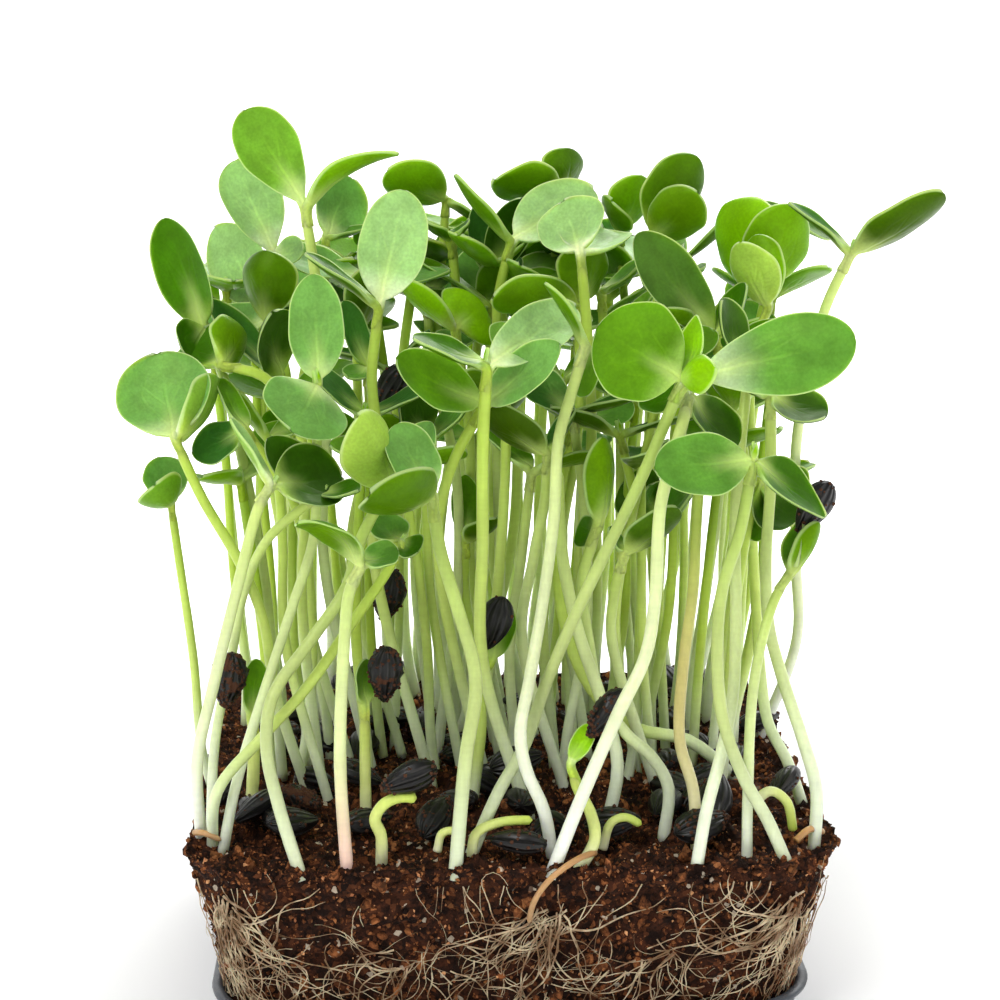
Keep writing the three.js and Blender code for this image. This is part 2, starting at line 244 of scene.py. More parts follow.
PLANTING_DEPTH = 3.0    # how far a stem goes into the soil
ROUTE_STEPS = 24        # points between two given points of a route
LEAF_THICKNESS = 0.9
BLADE_MIDDLE = 0.55     # where the middle of a blade is, as a share of the leaf's length
WHITISH_BASE = (226, 238, 196)    # display colour at the foot of a pale leaf's blade
GREEN_BASE = (138, 178, 62)       # the same of a deep green one
PLAIN_TINT = 0.05       # the tint of a piece whose finish doesn't read it
NOISE_LOW, NOISE_HIGH = 0.3, 0.7    # nearly all noise lies between these
SOIL_CORNER = 14.0
SOIL_LEAN = math.tan(math.radians(12))
# Mostly lighter greens as painted light: the filling leaves lie in shade, and the lighter tones stand in
# for the light that comes through them from behind.
SPARE_TONES = (Tone.FRESH, Tone.MID, Tone.FRESH, Tone.BRIGHT, Tone.MINT, Tone.TEAL, Tone.BRIGHT)
CAD_SPROUTS = 47        # sprouts with a higher number stand between those of the frame

HULLS = {
    "hull_01": Hull((-52, -29.5, 26), 180, -80, 90, 0.25),
    "hull_02": Hull((-23, -33.5, 28), 180, -86, 90, 0.22),
    "hull_03": Hull((-2.5, -26.5, 35.5), 180, -74, 90, 0.02),
    "hull_04": Hull((16.5, -47.5, 24.5), 200, -48, 75, 0.2),
    "hull_05": Hull((-19, -53, 15), 190, -18, 75, 0.12),
    "hull_06": Hull((55.4, -33.2, 58.6), 190, -56, 80, 0.1),
    "hull_07": Hull((0, -54, 3.2), 170, 4, 30, 0.12),
    "hull_08": Hull((-47, -37, 4), 215, -20, 30, 0.06),
}

LOOSE_HULLS = (
    Hull((-14, -42, 3.4), 60, 24, 40, 0.16),
    Hull((-40, -30, 3.2), 150, 12, 20, 0.3),
    Hull((-40, -42, 3.0), 30, -8, 24, 0.05),
    Hull((34, -48, 3.4), 20, 10, 30, 0.16),
    Hull((38, -38, 5.2), 75, 34, 20, 0.06),
    Hull((52, -30, 4.2), 240, -12, 40, 0.05),
    Hull((18, -45, 3.0), 340, 14, 30, 0.1),
    Hull((2, -22, 6.5), 15, 10, 60, 0.05),
    Hull((-21.3, -4, 76), 160, -60, 60, 0.1),
    Hull((-22.5, -8, 36), 170, -80, 80, 0.2),
)

CURLS = (
    (1.8, ((-8, -52, -2), (-7, -52, 4), (-3, -52, 6), (3, -52, 6.4)), Blush.LIME),
    (1.6, ((16, -48, -1), (17.5, -48, 4), (20, -48, 5), (23, -48, 3.5)), Blush.LIME),
    (1.5, ((-14, -50, 0), (-13, -50, 3.4), (-10.5, -50, 3.6), (-10, -50, 0.5)), Blush.LIME),
    (1.8, ((44, -44, 6), (47, -44, 8), (50, -44, 6), (51.5, -44, 0)), Blush.LIME),
    (2.4, ((46, -14, -1), (36, -16, 8), (24, -18, 12), (16, -16, 20), (11, -14, 34),
        (10, -12, 52)), Blush.GREEN),
    (1.1, ((14, -54.5, 1), (11, -57, 1), (6, -58.4, -2), (3, -58.0, -6.5),
        (2, -57.2, -11)), Blush.RUST),
    (1.1, ((-58, -41, 0.8), (-56, -43.5, 1.6), (-53, -44, 0.4)), Blush.RUST),
    (1.3, ((51, -49, 0.3), (54, -47, 1.7), (57, -45, 0.2)), Blush.RUST),
    (2.3, ((18, -36, -1), (20, -34, 10), (17, -32, 22), (13, -30, 34), (10, -28, 48),
        (9, -26, 66)), Blush.PALE),
)

SPROUTS = {f"sprout_{number:02d}": sprout for number, sprout in enumerate((
    Sprout(2.1, ((-57, -39, 0), (-57, -42, 15), (-54, -40, 28), (-49, -38, 47), (-45, -37, 61),
        (-42.7, -37, 64.8)), (Leaf(146, 51, 14.2, 6, 27, Tone.SILVER, bend=-4),
        Leaf(32, -2, 14.4, 13.5, 47, Tone.SHADE, bend=-20)), Blush.WHITE, bud=1.6),
    Sprout(1.8, ((-56, -33, 0), (-55, -27, 14), (-52, -23, 28), (-49, -25, 42), (-44, -29, 53),
        (-34, -32, 62)), (Leaf(175, 45, 14, 9, -40, Tone.SHADE),
        Leaf(320, 10, 9, 6, 20, Tone.DEEP, bend=-10)), Blush.PALE, bud=1.6),
    Sprout(1.9, ((-53, -43, 0), (-50, -43, 11), (-45, -36, 26), (-40, -30, 40), (-36, -26, 52),
        (-35, -28, 69), (-34.5, -30, 81.4)), (
        Leaf(99, 80, 19.9, 10.2, 1, Tone.MINT, bend=-8, cup=0.05, full=1),
        Leaf(245, -33, 12.5, 16.4, -38, Tone.MINT, bend=-14, cup=-0.06, full=1)), Blush.PALE, bud=3),
    Sprout(2.2, ((-38, -55, 0), (-42, -52, 10), (-44, -50, 20), (-43, -46, 28), (-36, -40, 37),
        (-30, -36, 45), (-27, -34, 54), (-22.2, -33, 63.1)), (
        Leaf(248, 50, 20, 11.2, 65, Tone.POD, bend=6, cup=0.34),
        Leaf(26, 51, 14.4, 8.6, 24, Tone.MINT)), Blush.SAGE),
    Sprout(2.2, ((-30, -54, 0), (-31, -52, 18), (-30, -47, 39), (-29, -44, 47), (-26.6, -43, 51.7)), (
        Leaf(212, 34, 16.4, 8.4, 21, Tone.FRESH, bend=-55, cup=-0.2),
        Leaf(7, 16, 6.6, 7.7, 24, bend=-20)), Blush.ROSE),
    Sprout(2.4, ((-11, -55.5, 0), (-9, -55, 19), (-7, -50, 32), (-10, -46, 44), (-13, -43, 54),
        (-14.4, -42, 63.6)), (Leaf(233, 10, 18.2, 14.5, 39, Tone.DEEP, bend=14, cup=0.22),
        Leaf(144, 58, 14.2, 10.1, -25, Tone.MINT, cup=0.1)), Blush.SAGE),
    Sprout(2.2, ((-9, -51, 0), (-3, -48, 10), (2, -43, 17), (6, -39, 27), (11, -38, 39), (16, -38, 50),
        (23, -38, 65), (30.1, -40, 83.6)), (
        Leaf(188, 31, 18.5, 17.9, -84, Tone.FRESH, bend=-6, cup=0.05),
        Leaf(349, 15, 30.8, 14.2, 73, bend=-6, cup=-0.05, stalk=0.1, full=1.45, pale=0.5),
        Leaf(47, 71, 11.7, 6.7, -12, Tone.LIME, bend=14, cup=0.2, pale=0.12, point=0.55),
        Leaf(302, 20.7, 9.3, 7.5, -99.2, Tone.LIME, bend=14, cup=0.2, pale=0.12, point=0.55)), Blush.SAGE),
    Sprout(2.2, ((7, -49, 0), (5, -51, 8), (2, -50, 15), (1, -48, 21), (3, -43, 30), (6, -35, 43),
        (8, -32, 57), (9, -29, 71), (11, -28, 78), (14, -27, 88)), (Leaf(195, 55, 14, 6, -5, bend=-20),
        Leaf(90, -70, 11, 7, 145, Tone.FRESH)), Blush.WHITE),
    Sprout(2.3, ((6, -55.5, 0), (11, -56, 11), (18, -54, 27), (23, -50, 36), (25, -46, 45),
        (26, -44, 62), (29, -41, 72), (32.2, -33, 79.3)), (Leaf(352, -45, 12.6, 10.4, 33, Tone.SHADE),
        Leaf(117, -6, 15.3, 9.2, -53, Tone.DEEP)), Blush.WHITE),
    Sprout(2.1, ((33, -49, 0), (33, -43, 8), (31, -38, 16), (32, -34, 30), (34, -30, 42), (35, -26, 55),
        (36, -22, 63)), (Leaf(130, -50, 15, 9, -55), Leaf(35, 45, 10, 9, -10, Tone.DEEP)), Blush.TAN),
    Sprout(2.2, ((32, -55, 0), (34, -53, 8), (37, -48, 16), (40, -42, 26), (41, -37, 39), (42, -27, 55),
        (44, -20, 70), (46, -14, 81)), (Leaf(200, 65, 15, 9, -55, Tone.SHADE),
        Leaf(45, 45, 12, 10, 5, Tone.DEEP)), Blush.PALE),
    Sprout(2.2, ((49, -54, 0), (45, -53, 6), (41, -52, 13), (37, -50, 24), (36, -48, 36), (37, -46, 47),
        (40, -45, 57), (42.2, -44, 69.7)), (Leaf(198, 0, 19.2, 12, -57, bend=-6, cup=0.06),
        Leaf(8, -39, 17.5, 11.4, 38, Tone.DEEP, bend=-18, point=0.8)), Blush.SAGE, bud=3.2),
    Sprout(1.9, ((42, -50, 0), (42, -49, 9), (43, -45, 26), (45, -42, 36), (48, -38, 43),
        (50.8, -36, 46.8)), (Leaf(49, 67, 10.2, 7.1, -33, Tone.SHADE, cup=0.3),
        Leaf(1, 63, 11, 5.4, -51, Tone.FRESH, cup=0.3)), Blush.PALE),
    Sprout(2.2, ((55, -46, 0), (55, -46, 9), (53, -43, 17), (50, -37, 27), (48, -32, 36), (48, -27, 47),
        (49, -24, 62), (48.8, -22, 77.3)), (Leaf(328, -16, 11.5, 10.8, 17, Tone.SHADE),
        Leaf(165, 29, 7.8, 7.9, -12, Tone.SHADE)), Blush.PALE),
    Sprout(2.1, ((57, -26, 0), (54, -23, 6), (51, -18, 12), (50, -14, 20), (49, -10, 37), (48, -8, 52),
        (46, -6, 67), (40.8, -5, 85.6)), (Leaf(188, 52, 25.8, 11.3, -74, Tone.SLATE, bend=-10, cup=0.1),
        Leaf(350, 62, 12.1, 7.6, 33, Tone.DEEP))),
    Sprout(2.2, ((28, -40, 0), (29, -38, 7), (26, -35, 12), (22, -32, 15), (17, -29, 22), (15, -26, 32),
        (14, -24, 43), (16.9, -24, 53.5)), (Leaf(12, 88, 16.7, 7.5, -63, Tone.FRESH, cup=0.3),
        Leaf(129, -31, 7.3, 6.2, -63, Tone.DEEP)), Blush.PALE),
    Sprout(1.7, ((-57, -12, 0), (-59, -13, 7), (-60, -13, 25), (-62, -14, 45), (-63.1, -15, 56.5)), (
        Leaf(255, 34, 9, 9.3, 40, Tone.MINT, bend=6, cup=0.3),
        Leaf(115, 58, 9.4, 8.6, -16, Tone.MINT, cup=0.22))),
    Sprout(2, ((-38, -16, 0), (-44, -19, 20), (-46, -22, 36), (-50, -25, 48), (-56, -27, 60),
        (-60.5, -28, 71.2)), (Leaf(108, 47, 18.9, 17.7, -22, Tone.MINT, cup=0.08),
        Leaf(60, 31, 16.5, 11.6, -67, Tone.SILVER, cup=0.2))),
    Sprout(1.9, ((-34, -20, 0), (-42, -20, 31), (-42, -21, 51), (-43, -22, 63), (-48, -23, 71.7)), (
        Leaf(169, -22, 11.2, 9.2, -45, Tone.TEAL, cup=0.06), Leaf(123, 43, 12.6, 6.2, 20, Tone.FRESH))),
    Sprout(2, ((-36, -10, 0), (-39, -12, 36), (-38, -14, 57), (-39, -16, 72), (-45, -18, 81),
        (-53, -18, 83.1)), (Leaf(57, 37, 9.7, 12.6, -87, Tone.FRESH, bend=-20),
        Leaf(108, 22, 12.9, 12.1, -28, Tone.DEEP))),
    Sprout(2.1, ((-44, -4, 0), (-47, -4, 42), (-51, -5, 67), (-53, -6, 78), (-56.6, -6, 88.5)), (
        Leaf(157, 69, 21.8, 10.5, -84, Tone.DEEP, bend=-6, cup=0.12, stalk=0.04, full=0.95),
        Leaf(250, -36, 9, 12, -54, Tone.DEEP, bend=-20)), Blush.SAGE),
    Sprout(2, ((-38, 10, 0), (-41, 8, 39), (-42, 5, 64), (-42, 3, 79), (-45.1, 2, 87.9)), (
        Leaf(200, 89, 14.3, 11.6, 48, Tone.DEEP, cup=0.26, full=1.3),
        Leaf(148, -1, 14.3, 9.3, -43, Tone.MINT))),
    Sprout(2.1, ((-26, -2, 0), (-35, -3, 42), (-34, -4, 70), (-35, -5, 93), (-37.3, -6, 111.5)), (
        Leaf(158, 56, 20.9, 11.7, -62, Tone.BRIGHT, bend=-8, cup=0.1, full=1.4),
        Leaf(338, 27, 22.3, 7.2, -11, Tone.BRIGHT, bend=-55, cup=0.2)), Blush.PALE),
    Sprout(2, ((-40, 18, 0), (-43, 16, 37), (-44, 14, 67), (-44, 12, 87), (-44.1, 12, 100.2)), (
        Leaf(165, 67, 19.8, 12.6, -53, Tone.SILVER, bend=-12, full=1.4),
        Leaf(318, 9, 8.2, 6.6, 64, Tone.SILVER))),
    Sprout(2, ((-46, 28, 0), (-49, 26, 39), (-48, 24, 69), (-47, 22, 84), (-46.8, 22, 88.7)), (
        Leaf(140, 48, 20.2, 13.3, -78, Tone.SILVER, cup=0.06), Leaf(13, 23, 8, 8, 21))),
    Sprout(2.1, ((-14, -12, 0), (-25, -14, 45), (-24, -16, 68), (-25, -16, 80), (-23.4, -17, 93.8)), (
        Leaf(38, 74, 21.8, 12.7, 49, Tone.SILVER, bend=-6, cup=0.05),
        Leaf(193, 36, 17.1, 7, -10, Tone.DEEP, bend=-10))),
    Sprout(2.1, ((-3, -14, 0), (-12, -20, 39), (-13, -26, 55), (-10, -28, 67), (-4.6, -29, 77.2)), (
        Leaf(198, 30, 19.3, 10.5, -60, Tone.FRESH, cup=0.12),
        Leaf(330, 39, 19.7, 8.4, 75, Tone.MINT, bend=-12))),
    Sprout(2.3, ((4, -28, 0), (-5, -30, 29), (-5, -32, 53), (-5, -34, 72), (-4.3, -35, 85.5)), (
        Leaf(203, 22, 15.5, 8.1, -23, Tone.DEEP, bend=-10),
        Leaf(43, 19, 24.8, 9.9, 47, Tone.SILVER, bend=-26, cup=0.16)), bud=3),
    Sprout(2.1, ((12, -16, 0), (3, -18, 30), (5, -20, 46), (7, -22, 58), (7.4, -24, 67.4)), (
        Leaf(190, 36, 15.4, 10, 43, Tone.SHADE, cup=0.1),
        Leaf(60, 34, 11.9, 7.2, -37, Tone.TEAL)), Blush.PALE),
    # Painted light: sprout_30's leaves lie in shade and take the bright LIME tone, which stands in for the
    # light that comes through them from behind.
    Sprout(2.1, ((2, 8, 0), (-6, 7, 39), (-6, 6, 64), (-8.8, 5, 86.4)), (
        Leaf(37, 34, 8, 14.5, -115, Tone.LIME, cup=0.1), Leaf(182, 42, 14.6, 8.5, 31, Tone.LIME))),
    Sprout(2.1, ((18, 4, 0), (12, 4, 40), (15, 3, 64), (15.3, 2, 91.5)), (
        Leaf(209, 7, 19.9, 10.8, 52, Tone.FRESH, bend=-14),
        Leaf(356, 79, 12.6, 12.8, -49, Tone.FRESH))),
    Sprout(1.9, ((-14, 38, 0), (-17, 38, 31), (-13, 38, 66), (-9.7, 38, 108.7)), (
        Leaf(211, 23, 15.6, 12.2, 47, Tone.BRIGHT), Leaf(350, -31, 10.6, 5, -20, Tone.DEEP))),
    Sprout(2.1, ((8, 16, 0), (-1, 16, 37), (0, 16, 70), (0, 16, 90), (2.7, 15, 102.3)), (
        Leaf(200, 48, 18.1, 6, -3, cup=0.24), Leaf(25, 26, 21.1, 13, 37, Tone.SILVER, bend=-26))),
    Sprout(2.1, ((24, -4, 0), (15, -6, 34), (17, -7, 66), (16, -8, 86), (14.4, -9, 102.5)), (
        Leaf(107, 44, 12.7, 13.7, -37, Tone.SILVER, cup=0.12),
        Leaf(63, 15, 12.8, 14.3, 7, Tone.SILVER, bend=-12))),
    Sprout(1.9, ((14, 40, 0), (10, 40, 30), (11, 40, 66), (14.3, 40, 110.1)), (
        Leaf(209, 10, 16.4, 13.4, 37, Tone.FRESH), Leaf(5, 78, 9.1, 12.3, -54, Tone.DEEP))),
    Sprout(2.1, ((30, -20, 0), (20, -21, 30), (20, -22, 38), (21.8, -24, 48.3)), (
        Leaf(334, 42, 14, 9, -38, Tone.TEAL), Leaf(183, 59, 5.7, 4, -32, Tone.DEEP)), Blush.PALE),
    Sprout(2, ((42, -18, 0), (44, -18, 36), (46, -18, 52), (47.6, -18, 60.5)), (
        Leaf(348, -44, 10.7, 17.5, 41, Tone.SHADE), Leaf(98, -85, 12.2, 9, -112, Tone.FRESH))),
    Sprout(2, ((48, 6, 0), (49, 6, 30), (50, 6, 59), (50, 6, 79), (52.8, 5, 90.3)), (
        Leaf(211, 59, 15.1, 10.1, 26, Tone.POD, cup=0.2), Leaf(122, 73, 14.4, 9.4, 111, Tone.BRIGHT))),
    Sprout(2.1, ((54, 12, 0), (61, 8, 21), (60, 6, 38), (59, 4, 64), (63, 2, 89), (67.9, 1, 101.2)), (
        Leaf(328, 34, 21.7, 10.6, -30, Tone.SHADE, bend=10, cup=0.2),
        Leaf(170, 37, 15.7, 6, -7, Tone.TEAL, bend=-20)), Blush.WHITE, bud=2.4),
    # Painted light: sprout_40's leaves lie in shade and take the bright LIME and BRIGHT tones, which stand
    # in for the light that comes through them from behind.
    Sprout(2, ((50, 24, 0), (51, 22, 34), (51, 20, 69), (54.7, 18, 92.6)), (
        Leaf(127, 54, 20, 17.3, 100, Tone.LIME, cup=0.1),
        Leaf(319, 75, 17.4, 13.8, -43, Tone.BRIGHT, cup=0.12))),
    Sprout(1.9, ((36, 26, 0), (33, 25, 34), (32, 24, 68), (31.6, 23, 101.9)), (
        Leaf(0, 63, 18.8, 13.2, -72, Tone.DEEP, cup=0.16),
        Leaf(309, 38, 15.9, 11.4, -55, Tone.FRESH, cup=0.2))),
    Sprout(1.9, ((44, 40, 0), (51, 39, 30), (52, 38, 66), (53, 36, 107.9)), (
        Leaf(181, -43, 17.9, 5, 27, Tone.SLATE), Leaf(11, -23, 20.7, 8.1, 24, Tone.SLATE, bend=-14))),
    Sprout(2.4, ((-49, -27, 0), (-48, -27, 9), (-48, -27, 18)), (
        Leaf(70, 78, 11, 6, 60, Tone.FRESH),), Blush.LIME),
    Sprout(2.1, ((-27, -32, 0), (-27, -31, 10), (-27, -31, 21)), (
        Leaf(80, 80, 9, 6, 60, Tone.FRESH),), Blush.LIME),
    Sprout(2.1, ((-7, -24, 0), (-5, -23, 14), (-5, -22, 22), (-3, -22, 27)), (
        Leaf(20, 72, 11, 6, 75, Tone.FRESH),)),
    Sprout(2.1, ((10.5, -55, 0), (14, -53.5, 3), (13.5, -51.5, 7), (11, -50, 12), (10, -49, 16)), (
        Leaf(40, 50, 8, 4, 30, Tone.LIME, pale=0.05),), Blush.LIME),
    Sprout(2.1, ((-24, -50, 0), (-24, -52, 4), (-25, -53, 7.5), (-23.4, -53, 10.2),
        (-20.4, -52.8, 11.4), (-17.6, -52.4, 11)), (), Blush.LIME),
    Sprout(2, ((-55, -41, 0), (-53, -46, 11), (-45, -44, 20), (-37, -40, 28), (-30, -32, 36),
        (-22, -28, 47), (-20, -26, 51)), (Leaf(330, -20, 4, 7, 25, Tone.DEEP),
        Leaf(125, 30, 8, 8, -10)), bud=1.6),
    Sprout(1.9, ((-30, 0, 0), (-39, 0, 33), (-39, -1, 58), (-41, -2, 70), (-42.7, -3, 78.6)), (
        Leaf(174, 47, 20, 8.6, -23, Tone.TEAL), Leaf(267, 51, 18, 11.7, -124, Tone.SHADE))),
    Sprout(1.9, ((-20, 8, 0), (-30, 6, 40), (-26, 4, 64), (-26, 2, 79.2)), (
        Leaf(187, 71, 14, 6.4, -58, Tone.TEAL), Leaf(242, -6, 7.8, 5.5, -20))),
    Sprout(1.9, ((-24, 34, 0), (-35, 34, 46), (-35, 34, 82), (-34.7, 34, 101.3)), (
        Leaf(51, 53, 14.4, 12.6, 70, Tone.MINT), Leaf(18, 12, 9.1, 5, 2))),
    Sprout(1.9, ((-8, -6, 0), (-14, -6, 34), (-15, -6, 55), (-14.5, -6, 66.5)), (
        Leaf(187, 64, 10.5, 11.9, -45, Tone.SHADE), Leaf(342, 45, 12, 9.3, 25))),
    Sprout(1.9, ((0, 4, 0), (-7, 2, 32), (-7, 0, 45)), (Leaf(315, 35, 10, 7, -15, Tone.DEEP),
        Leaf(90, 70, 13, 6, -10, Tone.FRESH))),
    Sprout(2.1, ((-8, 24, 0), (-12, 24, 35), (-8, 24, 69), (-8, 24, 89), (-9, 24, 102)), (
        Leaf(215, 30, 8, 7, -10, Tone.DEEP), Leaf(50, 30, 6, 6, -25, Tone.DEEP))),
    Sprout(1.9, ((2, 30, 0), (-3, 30, 33), (-1, 30, 68), (-0.8, 30, 93.5)), (
        Leaf(183, 79, 15.1, 7.6, -67, Tone.TEAL), Leaf(308, 60, 19.4, 8.9, 145, Tone.SHADE))),
    Sprout(2, ((30, 12, 0), (25, 11, 38), (24, 10, 67), (21, 9, 83), (20, 8, 93)), (
        Leaf(335, 35, 11, 9, 15), Leaf(155, 30, 10, 8, -15, Tone.BRIGHT))),
    Sprout(2, ((6, 44, 0), (6, 44, 29), (6, 44, 65), (8.5, 44, 88.4)), (
        Leaf(186, 89, 13.5, 9.5, -76, Tone.SHADE), Leaf(319, 72, 12.8, 9.9, 100, Tone.DEEP))),
    Sprout(1.9, ((28, 36, 0), (27, 36, 31), (29, 36, 66), (26.3, 36, 102.6)), (
        Leaf(339, 67, 12.1, 11.1, -41, Tone.BRIGHT), Leaf(250, 42, 9.4, 9.7, -42))),
    Sprout(1.9, ((34, 4, 0), (32, 4, 31), (32, 3, 48), (30.5, 2, 49.9)), (
        Leaf(125, 26, 10.2, 11.5, -57, Tone.SHADE), Leaf(220, 73, 5.8, 11.1, -78, Tone.DEEP))),
), 1)}


class Draft:
    """A mesh in the making: closed skins with a tint, a place and a slot for each part."""

    def __init__(self) -> None:
        """Starts empty."""
        self.points: list[Array] = []
        self.tints: list[Array] = []
        self.places: list[Array] = []
        self.faces: list[Sequence[int]] = []
        self.slots: list[int] = []
        self.count = 0

    def skin(
        self,
        rings: Array,
        tints: Array,
        places: Array,
        slot_of: Callable[[int], int] = lambda side: 0,
    ) -> None:
        """Adds a closed skin over rings of points, with a point at the middle of both end rings.

        Args:
            rings: rings × sides × 3 points in millimetres, anticlockwise as seen from the last ring.
            tints: linear colours, one for each point.
            places: places on the part, one for each point.
            slot_of: the material slot of the faces at a side.
        """
        count, sides = rings.shape[:2]
        first = self.count
        self.count += count * sides + 2
        for kept, values in ((self.points, rings), (self.tints, tints), (self.places, places)):
            kept.extend([values.reshape(-1, 3), values[:1].mean(1), values[-1:].mean(1)])
        for ring in range(count - 1):
            low = first + ring * sides
            for side in range(sides):
                after = (side + 1) % sides
                self.faces.append((low + side, low + after, low + sides + after, low + sides + side))
                self.slots.append(slot_of(side))
        last, middle = first + (count - 1) * sides, first + count * sides
        for side in range(sides):
            self.faces.append((first + (side + 1) % sides, first + side, middle))
        for side in range(sides):
            self.faces.append((last + side, last + (side + 1) % sides, middle + 1))
        self.slots += [slot_of(side) for side in range(sides)] * 2

    def build(self, name: str, materials: Sequence[Material]) -> Object:
        """Makes the object.

        Args:
            name: its name.
            materials: its slots in order.

        Returns:
            The object, at the origin, smooth shaded, in metres.
        """
        mesh = bpy.data.meshes.new(name)
        mesh.from_pydata((np.concatenate(self.points) * MM).tolist(), [], self.faces)
        for material in materials:
            mesh.materials.append(material)
        mesh.polygons.foreach_set("material_index", self.slots)
        mesh.polygons.foreach_set("use_smooth", [True] * len(self.faces))
        tint = mesh.attributes.new("tint", "FLOAT_COLOR", "POINT")
        rgba = np.ones((self.count, 4), np.float32)
        rgba[:, :3] = np.concatenate(self.tints)
        tint.data.foreach_set("color", rgba.ravel())
        place = mesh.attributes.new("place", "FLOAT_VECTOR", "POINT")
        place.data.foreach_set("vector", np.concatenate(self.places).astype(np.float32).ravel())
        mesh.update()
        return shown(name, mesh)


def shown(name: str, data: ID | None) -> Object:
    """Makes an object and links it to the scene.

    Args:
        name: its name.
        data: its mesh, light or camera.

    Returns:
        The object, at the origin.
    """
    made = bpy.data.objects.new(name, data)
    bpy.context.scene.collection.objects.link(made)
    return made


def eased(start: Array, enter: Array, end: Array, leave: Array, t: Array) -> Array:
    """Points of a smooth curve between two places.

    Args:
        start: where it starts.
        enter: its direction there, as long as it is to hold.
        end: where it ends.
        leave: its direction there.
        t: shares of the way, in a column.

    Returns:
        The points.
    """
    return (
        start * (2 * t**3 - 3 * t**2 + 1) + enter * (t**3 - 2 * t**2 + t)
        + end * (3 * t**2 - 2 * t**3) + leave * (t**3 - t**2)
    )


def smooth_route(points: Array, count: int) -> Array:
    """A centripetal Catmull-Rom curve through points.

    Args:
        points: the points that it goes through.
        count: how many points to return.

    Returns:
        Points at even steps along the curve.
    """
    ends = np.vstack([2 * points[0] - points[1], points, 2 * points[-1] - points[-2]])
    t = np.linspace(0, 1, ROUTE_STEPS, endpoint=False)[:, None]
    fine = []
    for before, start, end, after in zip(ends, ends[1:], ends[2:], ends[3:]):
        stretches = ((before, start), (start, end), (end, after))
        gaps = [max(float(np.linalg.norm(b - a)), 1e-4) ** 0.5 for a, b in stretches]
        enter = (start - before) / gaps[0] - (end - before) / (gaps[0] + gaps[1]) + (end - start) / gaps[1]
        leave = (end - start) / gaps[1] - (after - start) / (gaps[1] + gaps[2]) + (after - end) / gaps[2]
        fine.append(eased(start, enter * gaps[1], end, leave * gaps[1], t))
    fine = np.vstack([*fine, points[-1:]])
    reach = np.concatenate([[0], np.cumsum(np.linalg.norm(np.diff(fine, axis=0), axis=1))])
    even = np.linspace(0, reach[-1], count)
    return np.stack([np.interp(even, reach, fine[:, axis]) for axis in range(3)], axis=1)


def directions(path: Array) -> Array:
    """The way that a path runs.

    Args:
        path: its points.

    Returns:
        A unit vector at each point.
    """
    tangents = np.gradient(path, axis=0)
    tangents /= np.linalg.norm(tangents, axis=1, keepdims=True)
    return tangents


def carried(path: Array, side: Array) -> tuple[Array, Array]:
    """Carries a side vector along a path without twisting it.

    Args:
        path: the points of the path.
        side: the side vector at its start.

    Returns:
        The side vectors, and the vectors at right angles to them and to the path, at each point.
    """
    tangents = directions(path)
    sides = np.empty_like(path)
    for index, tangent in enumerate(tangents):
        side = unit(side - tangent * (side @ tangent))
        sides[index] = side
    return sides, np.cross(tangents, sides)


def tube_rings(path: Array, radii: Array, sides: int, side: Array | None = None) -> Array:
    """Round rings along a path.

    Args:
        path: the middle of each ring.
        radii: the radius of each.
        sides: points in a ring.
        side: the vector that the first point of the first ring lies along.

    Returns:
        rings × sides × 3 points.
    """
    one, other = carried(path, np.array([1.0, 0.2, 0.1]) if side is None else side)
    turn = np.linspace(0, 2 * math.pi, sides, endpoint=False)
    return (
        path[:, None]
        + one[:, None] * (np.cos(turn)[None, :, None] * radii[:, None, None])
        + other[:, None] * (np.sin(turn)[None, :, None] * radii[:, None, None])
    )


class Nodes:
    """A node tree in the making."""

    def __init__(self, tree: NodeTree) -> None:
        """Keeps the tree."""
        self.tree = tree

    def node(self, kind: str, inputs: dict[str | int, object] | None = None, **settings: object) -> Node:
        """Adds a node.

        Args:
            kind: its type.
            inputs: values or sockets for its inputs.
            settings: its own properties.

        Returns:
            The node.
        """
        made = self.tree.nodes.new(kind)
        for name, value in settings.items():
            setattr(made, name, value)
        for name, value in (inputs or {}).items():
            if isinstance(value, Socket):
                self.tree.links.new(value, made.inputs[name])
            else:
                made.inputs[name].default_value = value
        return made

    def calc(self, operation: str, *values: object) -> Socket:
        """The result of a Math node on values or sockets."""
        return self.node("ShaderNodeMath", dict(enumerate(values)), operation=operation).outputs[0]

    def times(self, one: object, other: object) -> Socket:
        """One value or socket times another."""
        return self.calc("MULTIPLY", one, other)

    def plus(self, one: object, other: object) -> Socket:
        """One value or socket plus another."""
        return self.calc("ADD", one, other)

    def minus(self, one: object, other: object) -> Socket:
        """One value or socket minus another."""
        return self.calc("SUBTRACT", one, other)


